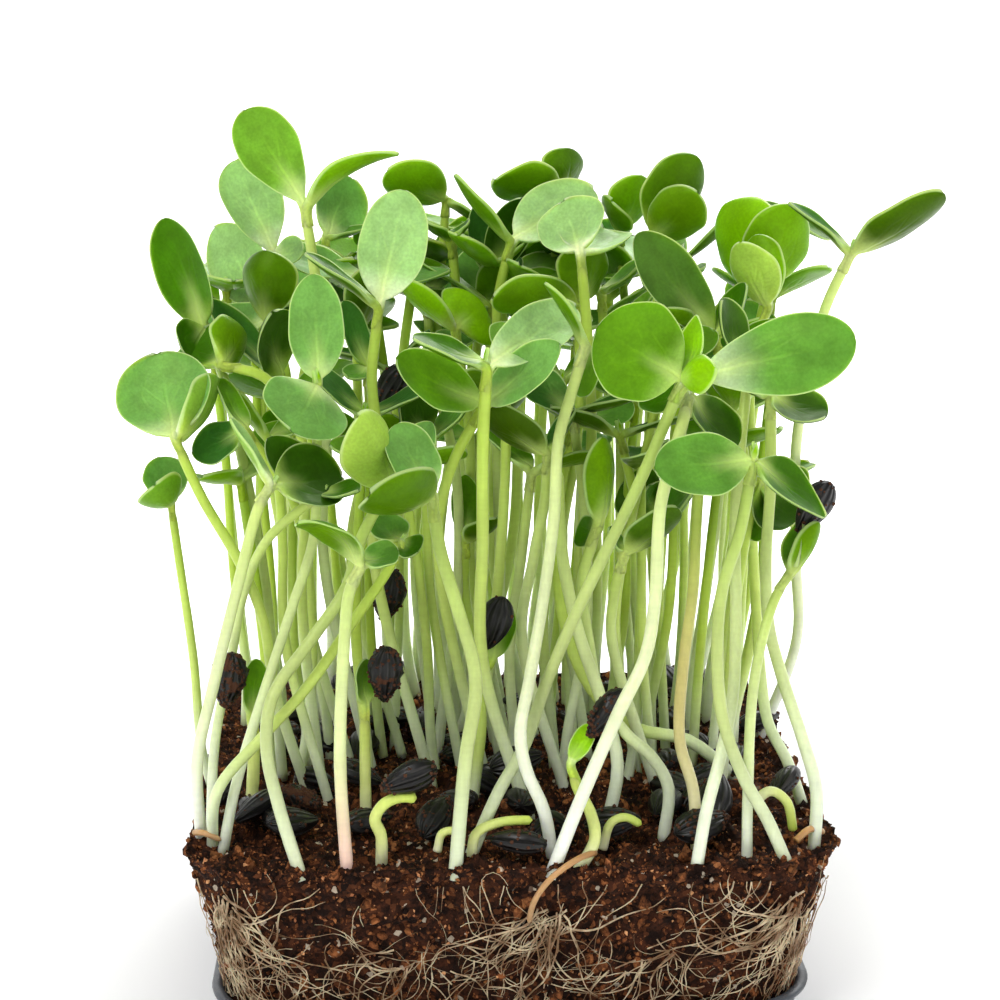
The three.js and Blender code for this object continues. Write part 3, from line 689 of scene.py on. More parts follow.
class Graph(Nodes):
    """A material's nodes, with short calls for those that the finishes share."""

    def __init__(self, name: str) -> None:
        """Makes the material with a Principled shader.

        Args:
            name: the material's name.
        """
        self.material = bpy.data.materials.new(name)
        self.material.use_nodes = True
        super().__init__(self.material.node_tree)
        self.shader = self.tree.nodes["Principled BSDF"]

    def set(self, **values: float | Colour) -> None:
        """Sets the shader's own sockets.

        Args:
            values: what goes into each, named with underscores for spaces.
        """
        for name, value in values.items():
            socket = self.shader.inputs[name.replace("_", " ")]
            socket.default_value = (*value, 1.0) if socket.type == "RGBA" else value

    def fit(self, value: object, low: float, high: float, start: float = 0.0, end: float = 1.0) -> Socket:
        """A value between low and high, smoothly fitted to run from start to end."""
        inputs = {"Value": value, "From Min": low, "From Max": high, "To Min": start, "To Max": end}
        return self.node("ShaderNodeMapRange", inputs, interpolation_type="SMOOTHSTEP").outputs["Result"]

    def vary(self, spots: Socket, start: float, end: float) -> Socket:
        """Noise fitted to run from start to end."""
        return self.fit(spots, NOISE_LOW, NOISE_HIGH, start, end)

    def fade(self, value: object, low: float, high: float, most: float = 1.0) -> Socket:
        """The most where a value is low, falling smoothly to none where it is high."""
        return self.fit(value, low, high, most, 0.0)

    def mix(self, share: object, one: object, other: object, blend: str = "MIX") -> Socket:
        """Mixes two colours.

        Args:
            share: how much of the other there is, from 0 to 1.
            one: a socket or a linear colour.
            other: the same.
            blend: how they are mixed.

        Returns:
            The mixed colour.
        """
        full = [(*c, 1.0) if isinstance(c, tuple) else c for c in (one, other)]
        inputs = {0: share, 6: full[0], 7: full[1]}
        return self.node("ShaderNodeMix", inputs, data_type="RGBA", blend_type=blend).outputs[2]

    def spots(
        self, scale: float, detail: float = 2.0, rough: float = 0.5, where: Socket | None = None,
    ) -> Socket:
        """Noise from 0 to 1 on Object coordinates, or on another vector."""
        inputs = {"Vector": where or self.where(), "Scale": scale, "Detail": detail, "Roughness": rough}
        return self.node("ShaderNodeTexNoise", inputs).outputs["Fac"]

    def waver(self, scale: float, most: float) -> Socket:
        """Noise about zero, which sways by half of the most either way."""
        return self.times(self.minus(self.spots(scale), 0.5), most)

    def cells(self, scale: float, output: str = "Distance") -> Socket:
        """Voronoi cells on Object coordinates."""
        return self.node("ShaderNodeTexVoronoi", {"Vector": self.where(), "Scale": scale}).outputs[output]

    def where(self, stretch: Point = (1.0, 1.0, 1.0)) -> Socket:
        """Object coordinates, stretched along each axis."""
        spot = self.node("ShaderNodeTexCoord").outputs["Object"]
        return self.node("ShaderNodeMapping", {"Vector": spot, "Scale": stretch}).outputs["Vector"]

    def place(self) -> tuple[Socket, ...]:
        """The three parts of the place on the piece."""
        spot = self.node("ShaderNodeAttribute", attribute_name="place").outputs["Vector"]
        return tuple(self.node("ShaderNodeSeparateXYZ", {0: spot}).outputs)

    def shaded_tint(self, shade: Socket) -> Socket:
        """The tint that the piece's mesh holds, made darker or lighter.

        Args:
            shade: what the tint is multiplied by.

        Returns:
            The colour.
        """
        tint = self.node("ShaderNodeAttribute", attribute_name="tint").outputs["Color"]
        grey = self.node("ShaderNodeCombineColor", {0: shade, 1: shade, 2: shade}).outputs[0]
        return self.mix(1.0, tint, grey, "MULTIPLY")

    def finish(
        self, colour: Socket, height: Socket, depth: float, roughness: Socket | None = None,
    ) -> Material:
        """Joins the patterns to the shader.

        Args:
            colour: the base colour.
            height: the height that the bump reads.
            depth: how deep the bump is, in metres.
            roughness: the roughness, where it varies.

        Returns:
            The material.
        """
        bump = self.node("ShaderNodeBump", {"Height": height, "Distance": depth, "Strength": 1.0})
        joined = {"Base Color": colour, "Normal": bump.outputs[0], "Roughness": roughness}
        for name, socket in joined.items():
            if socket is not None:
                self.tree.links.new(socket, self.shader.inputs[name])
        return self.material


@dataclass(frozen=True)
class LeafFinish:
    """A seed leaf's skin: mottled, with pale veins and a pale rim that is partly the thin margin's own
    colour and partly a painted highlight, letting some light through.

    Its sizes are in millimetres or in shares of the blade's length. side_bow is how far the pair of
    side veins bows out, and fork where the branches leave the midrib.
    """

    name: str
    rim_highlight: Colour = linear((196, 222, 150))
    throat: Colour = linear((198, 218, 128))
    vein_gain: Colour = (1.75, 1.6, 1.5)
    vein_strength: float = 0.5
    side_strength: float = 0.3
    branch_strength: float = 0.26
    side_bow: float = 0.46
    fork: float = 0.36
    rim_highlight_strength: float = 0.62
    throat_strength: float = 0.5
    roughness: float = 0.38
    through: float = 0.3
    patch_dark: float = 0.80
    patch_light: float = 1.16
    grain: float = 0.00006

    def veins(self, graph: Graph, along: Socket, off: Socket, half: Socket, from_middle: Socket) -> Socket:
        """The midrib, the side veins and the branches.

        Args:
            graph: the material's nodes.
            along: the share of the blade's length.
            off: the share of the half width.
            half: the half width.
            from_middle: the distance to the midrib.

        Returns:
            How much of a vein there is, from 0 to 1.
        """
        midrib = graph.times(graph.fade(from_middle, 0.06, 0.5), graph.fade(along, 0.2, 0.88))
        bow = graph.times(graph.calc("SINE", graph.times(along, 2.75)), self.side_bow)
        from_side = graph.calc("ABSOLUTE", graph.plus(graph.minus(off, bow), graph.waver(180.0, 0.22)))
        sides = graph.times(
            graph.fade(graph.times(from_side, half), 0.05, 0.42, self.side_strength),
            graph.times(graph.fit(along, 0.04, 0.2), graph.fade(along, 0.45, 0.85)),
        )
        rising = graph.times(graph.minus(along, self.fork), 1.5)
        from_branch = graph.calc("ABSOLUTE", graph.minus(off, rising))
        branches = graph.times(
            graph.fade(graph.times(from_branch, half), 0.05, 0.4, self.branch_strength),
            graph.times(graph.fit(along, self.fork, 0.44), graph.fade(along, 0.6, 0.78)),
        )
        return graph.calc("MAXIMUM", graph.calc("MAXIMUM", midrib, sides), branches)

    def build(self) -> Material:
        """Makes the material.

        Returns:
            The material.
        """
        graph = Graph(self.name)
        along, sideways, half = graph.place()
        off = graph.calc("ABSOLUTE", sideways)
        from_rim = graph.times(graph.minus(1.0, off), half)
        wavering = graph.plus(graph.times(sideways, half), graph.waver(260.0, 0.9))
        from_middle = graph.calc("ABSOLUTE", wavering)
        veins = self.veins(graph, along, off, half, from_middle)
        patches = graph.vary(graph.spots(150.0, 3.0, 0.6), self.patch_dark, self.patch_light)
        flecks = graph.vary(graph.spots(1900.0, 1.0), 0.93, 1.07)
        colour = graph.shaded_tint(graph.times(patches, flecks))
        lighter = graph.mix(1.0, colour, self.vein_gain, "MULTIPLY")
        colour = graph.mix(graph.times(veins, self.vein_strength), colour, lighter)
        throat = graph.times(
            graph.fade(from_middle, 0.1, 2.4, self.throat_strength),
            graph.times(graph.fit(along, -0.2, 0.04), graph.fade(along, 0.05, 0.55)),
        )
        colour = graph.mix(throat, colour, self.throat)
        # The pale rim is partly the thin leaf margin's paler green and partly a painted highlight along the
        # edge.
        rim_highlight = graph.times(graph.fade(from_rim, 0.08, 0.34, self.rim_highlight_strength), graph.fit(along, 0.02, 0.12))
        colour = graph.mix(rim_highlight, colour, self.rim_highlight)
        fine = graph.plus(graph.times(graph.spots(1500.0), 0.6), graph.times(graph.spots(210.0, 1.0), 4.5))
        height = graph.plus(fine, graph.times(veins, -1.8))
        roughness = graph.vary(graph.spots(420.0), self.roughness - 0.05, self.roughness + 0.08)
        graph.set(
            Specular_IOR_Level=0.36, Specular_Tint=(0.5, 0.8, 0.15), Subsurface_Weight=self.through,
            Subsurface_Scale=0.002, Subsurface_Radius=(0.75, 1.0, 0.15),
        )
        return graph.finish(colour, height, self.grain, roughness)


@dataclass(frozen=True)
class StemFinish:
    """A stem's skin: pale, juicy, with faint rings and fine lines along it."""

    name: str = "stem_skin"
    roughness: float = 0.34
    through: float = 0.45
    grain: float = 0.00009

    def build(self) -> Material:
        """Makes the material.

        Returns:
            The material.
        """
        graph = Graph(self.name)
        rings = graph.spots(1.0, where=graph.where((160.0, 160.0, 1500.0)))
        lines = graph.spots(1.0, where=graph.where((1800.0, 1800.0, 90.0)))
        patches = graph.vary(graph.spots(110.0), 0.92, 1.06)
        lined = graph.times(graph.vary(lines, 0.96, 1.03), patches)
        colour = graph.shaded_tint(graph.times(graph.vary(rings, 0.97, 1.02), lined))
        height = graph.plus(graph.times(rings, 0.35), graph.times(lines, 0.4))
        graph.set(
            Roughness=self.roughness, Specular_IOR_Level=0.4, Specular_Tint=(0.8, 0.9, 0.6),
            Subsurface_Weight=self.through, Subsurface_Scale=0.0018, Subsurface_Radius=(0.9, 1.0, 0.45),
        )
        return graph.finish(colour, height, self.grain)


@dataclass(frozen=True)
class SoilFinish:
    """Damp potting soil: dark crumbs with redder bark and pale flecks, and near black cells of painted
    shade that stand for the pits between the crumbs.
    """

    name: str = "damp_soil"
    dark: Colour = linear((26, 12, 6))
    brown: Colour = linear((146, 87, 50))
    red: Colour = linear((200, 130, 78))
    fleck: Colour = linear((205, 190, 168))
    fleck_share: float = 0.014
    grain: float = 0.0009

    def build(self) -> Material:
        """Makes the material.

        Returns:
            The material.
        """
        graph = Graph(self.name)
        grain = graph.node("ShaderNodeSeparateColor", {0: graph.cells(1150.0, "Color")}).outputs
        ground = graph.mix(graph.fit(graph.spots(260.0, 5.0, 0.7), 0.4, 0.62), self.dark, self.brown)
        ground = graph.mix(graph.fit(grain[0], 0.6, 1.0, 0.0, 0.55), ground, self.red)
        # Painted shade: random cells turn near black, standing in for the shade in the pits between the
        # crumbs.
        ground = graph.mix(graph.fit(grain[1], 0.55, 1.0, 0.0, 0.8), ground, self.dark)
        flecks = graph.fit(grain[2], 1.0 - self.fleck_share, 1.0 - self.fleck_share * 0.7)
        ground = graph.mix(graph.times(flecks, 0.75), ground, self.fleck)
        height = graph.plus(graph.spots(700.0, 4.0, 0.7), graph.times(graph.cells(900.0), 0.8))
        graph.set(Roughness=0.9, Specular_IOR_Level=0.16)
        return graph.finish(ground, height, self.grain)


@dataclass(frozen=True)
class SpeckFinish:
    """Pale mineral grains and dry bits in the soil."""

    name: str = "pale_grains"
    pale: Colour = linear((222, 206, 182))
    tan: Colour = linear((170, 128, 88))
    grain: float = 0.0002

    def build(self) -> Material:
        """Makes the material.

        Returns:
            The material.
        """
        graph = Graph(self.name)
        colour = graph.mix(graph.fit(graph.spots(240.0, 1.0), 0.4, 0.6), self.tan, self.pale)
        graph.set(Roughness=0.8)
        return graph.finish(colour, graph.spots(2200.0), self.grain)


@dataclass(frozen=True)
class RootFinish:
    """Cream roots, browner where soil sticks to them."""

    name: str = "root_skin"
    cream: Colour = linear((206, 188, 154))
    tan: Colour = linear((124, 94, 62))
    earth: Colour = linear((86, 54, 36))
    grain: float = 0.0001

    def build(self) -> Material:
        """Makes the material.

        Returns:
            The material.
        """
        graph = Graph(self.name)
        colour = graph.mix(graph.fit(graph.spots(170.0, 3.0, 0.6), 0.38, 0.64), self.cream, self.tan)
        colour = graph.mix(graph.fit(graph.spots(1300.0), 0.6, 0.7, 0.0, 0.5), colour, self.earth)
        graph.set(Roughness=0.6, Subsurface_Weight=0.2, Subsurface_Scale=0.0006)
        return graph.finish(colour, graph.spots(1800.0), self.grain)


@dataclass(frozen=True)
class HullFinish:
    """A seed hull: near black with fine grey stripes along it, and soil stuck to it."""

    name: str = "hull_shell"
    black: Colour = linear((9, 8, 8))
    stripe: Colour = linear((50, 47, 45))
    earth: Colour = linear((76, 46, 29))
    stripes: float = 15.0
    clean: float = 0.76
    grain: float = 0.0003

    def build(self) -> Material:
        """Makes the material.

        Returns:
            The material.
        """
        graph = Graph(self.name)
        _, sideways, dusty = graph.place()
        beat = graph.times(graph.plus(sideways, graph.waver(300.0, 0.16)), self.stripes)
        lines = graph.fit(graph.calc("SINE", beat), 0.45, 0.95)
        faint = graph.fit(graph.spots(1.0, where=graph.where((260.0, 260.0, 260.0))), 0.35, 0.65, 0.15, 0.8)
        colour = graph.mix(graph.times(lines, faint), self.black, self.stripe)
        stuck = graph.minus(graph.plus(graph.spots(520.0, 3.0, 0.65), dusty), self.clean)
        earth = graph.fit(stuck, 0.0, 0.06)
        colour = graph.mix(earth, colour, self.earth)
        ridges = graph.times(graph.calc("SINE", beat), 0.35)
        height = graph.plus(ridges, graph.times(earth, graph.spots(1500.0, 3.0, 0.7)))
        graph.set(Specular_IOR_Level=0.32)
        return graph.finish(colour, height, self.grain, graph.fit(earth, 0.0, 1.0, 0.36, 0.95))


@dataclass(frozen=True)
class TrayFinish:
    """Dark slate plastic with a fine moulded grain and dried splashes."""

    name: str = "tray_plastic_skin"
    slate: Colour = linear((44, 48, 54))
    worn: Colour = linear((74, 79, 86))
    dust: Colour = linear((118, 98, 82))
    grain: float = 0.00005

    def build(self) -> Material:
        """Makes the material.

        Returns:
            The material.
        """
        graph = Graph(self.name)
        colour = graph.mix(graph.fit(graph.spots(90.0, 4.0, 0.6), 0.4, 0.7), self.slate, self.worn)
        splash = graph.fit(graph.spots(330.0, 4.0, 0.7), 0.62, 0.72, 0.0, 0.5)
        colour = graph.mix(splash, colour, self.dust)
        roughness = graph.vary(graph.spots(140.0, 3.0), 0.34, 0.56)
        return graph.finish(colour, graph.spots(2600.0), self.grain, roughness)


@dataclass(frozen=True)
class PaleFinish:
    """The studio's pale floor and backdrop, which glows a little away from the object."""

    name: str = "studio_paper"
    white: Colour = linear((252, 252, 252))
    shade: Colour = linear((248, 248, 248))
    glow: float = 0.75
    glow_from: float = 0.085
    glow_full: float = 0.3

    def build(self) -> Material:
        """Makes the material.

        Returns:
            The material.
        """
        graph = Graph(self.name)
        far = graph.node("ShaderNodeVectorMath", {0: graph.where()}, operation="LENGTH").outputs["Value"]
        glow = graph.fit(far, self.glow_from, self.glow_full, 0.0, self.glow)
        colour = graph.mix(graph.spots(3.0, 1.0), self.white, self.shade)
        graph.tree.links.new(glow, graph.shader.inputs["Emission Strength"])
        graph.tree.links.new(colour, graph.shader.inputs["Base Color"])
        graph.set(Roughness=0.9, Specular_IOR_Level=0.1, Emission_Color=(1.0, 1.0, 1.0))
        return graph.material


def shaded_ground_finish() -> SoilFinish:
    """The ground between the crumbs: darker, partly the earth's own colour and partly painted shade for the
    gaps between the crumbs.
    """
    # Painted shade in part: these darker browns stand in for the shade in the gaps between the crumbs.
    return SoilFinish("damp_ground", brown=linear((66, 35, 20)), red=linear((118, 68, 39)))


def bark_finish() -> SpeckFinish:
    """Light brown bits of bark and fibre in the soil."""
    return SpeckFinish("bark_bits", pale=linear((212, 152, 100)), tan=linear((154, 92, 53)))


def under_finish() -> LeafFinish:
    """The lower face of a seed leaf: smoother, with fainter veins."""
    changes = {"vein_strength": 0.25, "rim_highlight_strength": 0.55, "patch_dark": 0.86, "patch_light": 1.12}
    return LeafFinish("leaf_under", **changes)


@dataclass(frozen=True)
class Rib:
    """The rings of one leaf: shares from -1 at its stalk's foot to 1 at its tip, and places.

    path holds the middles of the rings, and sides and ups the unit vectors across and over each.
    """

    share: Array
    path: Array
    sides: Array
    ups: Array


@dataclass
class Grower:
    """Grows sprouts: one closed stem and closed seed leaves in one mesh.

    Their unevenness is drawn from rng. sides and steps are the sides and rings of a stem,
    leaf_sides and leaf_rings those of a blade. fork is how far below a stem's head its leaves'
    stalks part, and neck how thick a stalk is there, both in stem radii.
    """

    soil_top: float
    rng: Random
    sides: int
    steps: int
    leaf_sides: int
    leaf_rings: int
    fork: float = 4.0
    neck: float = 0.78

    def __post_init__(self) -> None:
        """Starts with nothing grown."""
        self.draft = Draft()

    def piece(self, name: str, materials: Sequence[Material]) -> Object:
        """Makes one object of all that has grown since the last one."""
        made, self.draft = self.draft.build(name, materials), Draft()
        return made

    @property
    def stalk_rings(self) -> int:
        """Rings of a leaf's stalk."""
        return max(4, self.leaf_rings // 4)

    def route(self, sprout: Sprout) -> Array:
        """The middle of a sprout's stem, from under the soil to its head.

        Args:
            sprout: the sprout.

        Returns:
            Points at even steps.
        """
        points = np.array(sprout.route, float)
        points[0, 2] = -PLANTING_DEPTH
        points[:, 2] += self.soil_top
        return smooth_route(points, self.steps)

    def grow(self, sprout: Sprout) -> None:
        """Grows one sprout.

        Args:
            sprout: the sprout.
        """
        path = self.route(sprout)
        radius = sprout.stem / 2
        stops = sprout.blush.stops()
        self.stem(path, radius, stops, sprout.leaves)
        head = Head(path[-1], unit(path[-1] - path[-3]), radius, stops[2])
        for leaf in sprout.leaves:
            self.leaf(leaf, head)
        if sprout.bud:
            self.bud(sprout, head)

    def stem(self, path: Array, radius: float, stops: Sequence[Array], leaves: Sequence[Leaf]) -> None:
        """Adds a stem, a little uneven, which narrows where its seed leaves part from it.

        Args:
            path: its middle.
            radius: its radius in millimetres.
            stops: linear colours at its foot, middle and head.
            leaves: the seed leaves at its head.
        """
        share = np.linspace(0, 1, len(path))
        left = (1 - share) * np.linalg.norm(np.diff(path, axis=0), axis=1).sum()
        phase = self.rng.uniform(0, 6)
        even = 1.06 - 0.12 * share + 0.012 * np.sin(share * 23 + phase) + 0.01 * np.sin(share * 41 + phase)
        taper = 1 - 0.55 * smooth(radius * self.fork, 0.0, left) if leaves else np.ones(len(path))
        end = np.sqrt(np.clip(1 - ((0.9 - left) / 0.9).clip(0) ** 2, 0.02, 1))
        first = unit(path[1] - path[0])
        side = leaves[0].axes()[0] if leaves else np.array([1.0, 0.3, 0.1])
        side = side - first * (side @ first)
        start = unit(side) if np.linalg.norm(side) > 0.1 else None
        rings = tube_rings(path, radius * even * (taper * end), self.sides, start)
        low = smooth(0.02, 0.45, share)[:, None]
        high = smooth(0.4, 0.97, share)[:, None]
        colour = stops[0] * (1 - low) + stops[1] * low
        colour = colour * (1 - high) + stops[2] * high
        places = np.zeros(rings.shape)
        places[..., 0] = share[:, None]
        self.draft.skin(rings, np.repeat(colour[:, None], self.sides, axis=1), places)

    def rib(self, leaf: Leaf, head: Head) -> Rib:
        """The rings of a leaf, whose stalk leaves the stem smoothly and whose blade bends evenly.

        Args:
            leaf: the leaf.
            head: the head of the stem.

        Returns:
            Where its rings are and how they stand.
        """
        along, across, over = leaf.axes()
        even = np.linspace(0, 1, self.leaf_rings)
        blade = (0.35 * even + 0.65 * np.sin(even * math.pi / 2)) * 0.997
        turn = np.radians(leaf.bend) * (blade - 0.5)
        ways = np.cos(turn)[:, None] * along + np.sin(turn)[:, None] * over
        steps = np.diff(blade)[:, None] * (leaf.length * (1 - leaf.stalk)) * (ways[1:] + ways[:-1]) / 2
        start = head.at + along * leaf.length * leaf.stalk
        spine = np.vstack([start, start + np.cumsum(steps, axis=0)])

        sideways = along - head.way * (along @ head.way)
        root = head.at - head.way * head.radius * self.fork + unit(sideways) * head.radius * 0.3
        reach = float(np.linalg.norm(start - root))
        t = np.linspace(0, 1, self.stalk_rings, endpoint=False)
        stalk = eased(root, head.way * reach * 1.1, start, ways[0] * reach * 1.1, t[:, None])
        path = np.vstack([stalk, spine])
        back_sides, _ = carried(path[: self.stalk_rings + 2][::-1], across)
        blade_sides = np.repeat(across[None], len(blade), axis=0)
        sides = np.vstack([back_sides[::-1][: self.stalk_rings], blade_sides])
        shares = np.linspace(-1, 0, self.stalk_rings, endpoint=False)
        return Rib(np.concatenate([shares, blade]), path, sides, np.cross(directions(path), sides))

    def thickness(self, leaf: Leaf, radius: float, share: Array) -> tuple[Array, ...]:
        """How wide and how thick a leaf is, from its stalk's foot to its tip.

        Args:
            leaf: the leaf.
            radius: the stem's radius.
            share: where the rings are.

        Returns:
            Half the width, half the thickness, and the blade's own part of half the width.
        """
        out, neck, stalk_rings = share.clip(0), radius * self.neck, self.stalk_rings
        thin = (1 - smooth(0.0, 0.3, out)) * (1 - 0.2 * smooth(-1, 0, share))
        stalk = min(radius * 0.95, max(leaf.width * 0.2, 0.5))
        blade = np.where(share > 0, leaf.half_width(out), 0.0)
        half = np.sqrt((stalk * (1 - 0.9 * smooth(0.0, 0.7, out))) ** 2 * (1 - out**8) + blade**2)
        half[:stalk_rings] = neck + (stalk - neck) * smooth(-0.7, 0, share[:stalk_rings])
        depth = LEAF_THICKNESS / 2 * (1 - 0.35 * out) + (min(radius * 0.62, stalk * 0.8) - 0.1) * thin
        depth += (neck - depth) * smooth(-0.2, -0.8, share)
        depth[-1] *= 0.2
        return half, depth, blade

    def leaf(self, leaf: Leaf, head: Head) -> None:
        """Adds a seed leaf whose stalk grows out of the stem.

        Args:
            leaf: the leaf.
            head: the head of the stem.
        """
        rng = self.rng
        rib = self.rib(leaf, head)
        half, depth, blade = self.thickness(leaf, head.radius, rib.share)
        out = rib.share.clip(0)
        angle = np.linspace(0, 2 * math.pi, self.leaf_sides, endpoint=False)
        u = np.sign(np.cos(angle)) * np.abs(np.cos(angle)) ** 0.85
        h = np.sign(np.sin(angle)) * np.abs(np.sin(angle)) ** 0.6
        lop = 1 + rng.uniform(-0.06, 0.06) * np.sign(u) * smooth(0.05, 0.4, out)[:, None]
        phase, beat = rng.uniform(0, 6.3), rng.uniform(5.0, 8.0)
        ripple = 1 + 0.018 * np.sin(out * beat * 2 + phase)[:, None] * np.abs(u) ** 3
        x = u * half[:, None] * lop * ripple

        rise = leaf.cup * leaf.width * (blade / (leaf.width / 2))[:, None] ** 2 * (u ** 2 - 0.6)
        wave = 0.036 * leaf.width * np.sin(out * beat + phase)[:, None] * np.abs(u) ** 2
        wave = wave * np.sign(u) * smooth(0.1, 0.5, out)[:, None]
        grooved = smooth(-0.3, 0.1, rib.share) * (1 - smooth(0.3, 0.9, out))
        groove = -0.22 * np.exp(-(x**2)) * grooved[:, None]
        lip = 0.05 * leaf.width * np.abs(u) ** 8 * smooth(0.0, 0.3, out)[:, None]
        z = h * depth[:, None] + rise + wave + groove + lip
        rings = rib.path[:, None] + rib.sides[:, None] * x[..., None] + rib.ups[:, None] * z[..., None]

        reached = smooth(-0.06, leaf.pale, out + 0.04 * np.sin(phase))
        tints = self.tints(leaf, head.tint, rib.share, reached, smooth(-0.25, 0.25, h))
        places = np.stack(np.broadcast_arrays(rib.share[:, None], u, half[:, None]), axis=2)
        self.draft.skin(rings, tints, places, lambda side: 1 if side + 0.5 < self.leaf_sides / 2 else 2)

    def tints(self, leaf: Leaf, stalk: Array, share: Array, reached: Array, facing: Array) -> Array:
        """The colours of a leaf: its stalk's, then a pale base, then those of its two faces.

        Args:
            leaf: the leaf.
            stalk: the linear colour of the stem's head.
            share: where the rings are.
            reached: how much of each ring has its faces' own colour.
            facing: how much each side faces upwards.

        Returns:
            Linear colours, one for each point.
        """
        upper, under = (np.array(linear(colour)) for colour in leaf.tone.value)
        light = max(float(smooth(0.15, 0.5, upper[1])), float(smooth(0.3, 0.34, leaf.pale)))
        base = np.array(linear(WHITISH_BASE)) * light + np.array(linear(GREEN_BASE)) * (1 - light)
        opened = smooth(-0.45, 0.12, share)[:, None, None] * (0.6 + 0.4 * light)
        reached, facing = reached[:, None, None], facing[None, :, None]
        top = (stalk * (1 - opened) + base * opened) * (1 - reached) + upper * reached
        bottom = stalk * (1 - reached) + under * reached
        return bottom * (1 - facing) + top * facing

    def bud(self, sprout: Sprout, head: Head) -> None:
        """Adds the pair of tiny true leaves between the seed leaves.

        Args:
            sprout: the sprout.
            head: the head of its stem.
        """
        middle = unit(sum(leaf.axes()[0] for leaf in sprout.leaves) * 0.6 + head.way)
        rise = math.degrees(math.asin(max(-1.0, min(1.0, float(middle[2])))))
        azimuth = math.degrees(math.atan2(middle[1], middle[0]))
        low = Head(head.at + head.way * 0.3, head.way, head.radius * 0.6, head.tint)
        for turned in (-14, 16):
            small = Leaf(
                azimuth + turned, rise + turned * 0.5, sprout.bud, sprout.bud * 0.42,
                90 * (turned > 0) - 45, Tone.LIME, bend=-20, pale=0.1, point=1.0, stalk=0.05,
            )
            self.leaf(small, low)


@dataclass
class Stand:
    """All the sprouts: those of the frame, those between them and those behind.

    clear and leaf_clear are the distances between feet and between blades that make a place good.
    The sprouts of the near part, in front of near_line, are shorter. reach_x and reach_y are how
    far leaves may reach, and leaf_top how high.
    """

    soil_top: float
    materials: Sequence[Material]
    spare_groups: int = 12
    spare_each: int = 6
    tries: int = 9
    clear: float = 4.6
    leaf_clear: float = 11.0
    near_line: float = 14.0
    reach_x: float = 62.0
    reach_y: float = 57.0
    leaf_top: float = 104.0
    seed: int = 11
    curl_seed: int = 8

    def __post_init__(self) -> None:
        """Starts the random draws."""
        self.rng = Random(self.seed)

    def build(self) -> None:
        """Grows the bent young stems, the sprouts and those that fill the back."""
        self.curls()
        grower = Grower(self.soil_top, self.rng, 14, 46, 26, 26)
        for name, sprout in SPROUTS.items():
            grower.grow(sprout)
            replaced = name if int(name[-2:]) <= CAD_SPROUTS else None
            place_piece(grower.piece(name + "_grown", self.materials), replaced)
        self.fill()

    def curls(self) -> None:
        """Makes the young stems that are still bent over the soil, with no leaves out yet."""
        grower = Grower(self.soil_top, Random(self.curl_seed), 12, 26, 12, 12)
        for number, (thickness, route, blush) in enumerate(CURLS, 1):
            path = smooth_route(np.array(route, float) + [0, 0, self.soil_top], grower.steps)
            grower.stem(path, thickness / 2, blush.stops(), ())
            place_piece(grower.piece(f"young_stem_{number:02d}", self.materials))

    def fill(self) -> None:
        """Grows the sprouts that fill the back and the sides, in small clumps."""
        grower = Grower(self.soil_top, self.rng, 10, 30, 18, 16)
        feet = [sprout.foot() for sprout in SPROUTS.values()]
        tips = [tip for sprout in SPROUTS.values() for tip in sprout.blades()]
        for group in range(self.spare_groups):
            for _ in range(self.spare_each):
                sprout = self.spare(feet, tips)
                feet.append(sprout.foot())
                tips += sprout.blades()
                grower.grow(sprout)
            place_piece(grower.piece(f"sprout_clump_{group + 1:02d}", self.materials))

    def spare(self, feet: list[Array], tips: list[Array]) -> Sprout:
        """Draws the sprout with the most room out of a few.

        Args:
            feet: where sprouts stand already.
            tips: the middles of the blades that are there already.

        Returns:
            The sprout.
        """
        best, most = None, -1.0
        for _ in range(self.tries):
            sprout = self.drawn()
            foot = sprout.foot()
            room = min(float(np.linalg.norm(foot - other)) for other in feet) / self.clear
            for tip in sprout.blades():
                gap = min(float(np.linalg.norm(tip - other)) for other in tips)
                room = min(room, gap / self.leaf_clear)
            if room > most:
                best, most = sprout, room
        return best

    def drawn(self) -> Sprout:
        """Draws one sprout of the back or the sides.

        Returns:
            The sprout, which stays inside the frame's box.
        """
        rng = self.rng
        x, y = rng.uniform(-54, 54), rng.uniform(-12, 53)
        near = y < self.near_line
        if near:
            x *= 0.85
        tall = rng.uniform(60, 88) if near else rng.uniform(78, 101)
        tall -= 0.16 * abs(x)
        lean_x, lean_y = x * 0.07 + rng.gauss(0, 3.5), (y - 10) * 0.05 + rng.gauss(0, 3.0)
        head = (min(max(x + lean_x, -58), 58), min(max(y + lean_y, -40), 50), tall)
        route = self.drawn_route((x, y, 0.0), head)
        turned = rng.uniform(0, 360)
        tone = rng.choice(SPARE_TONES)
        leaves = []
        for side in (0, 180):
            long = rng.uniform(12, 16) if near else rng.uniform(15, 20.5)
            leaves.append(self.drawn_leaf(turned + side, long, head, tone))
        reach = max(head[1] + leaf.axes()[0][1] * leaf.length for leaf in leaves)
        over = max(reach - self.reach_y, 0.0)
        route = [(px, py - over * pz / tall, pz) for px, py, pz in route]
        blush = rng.choice((Blush.PALE, Blush.GREEN, Blush.GREEN, Blush.DEEP))
        thick = rng.uniform(1.8, 2.3)
        return Sprout(thick, tuple(route), tuple(leaves), blush, bud=rng.choice((0, 0, 1.8, 2.6)))

    def drawn_route(self, foot: Point, head: Point) -> list[Point]:
        """Draws the route of a stem, a little bowed.

        Args:
            foot: where it starts.
            head: where it ends.

        Returns:
            Its points.
        """
        rng = self.rng
        bow = rng.gauss(0, 3.0), rng.gauss(0, 3.0)
        route = [foot]
        for share in (0.12, 0.4, 0.72):
            swing = math.sin(math.pi * share)
            x, y = (
                foot[axis] + (head[axis] - foot[axis]) * share + bow[axis] * swing + rng.gauss(0, 0.5)
                for axis in (0, 1)
            )
            route.append((x, y, head[2] * share))
        return [*route, head]

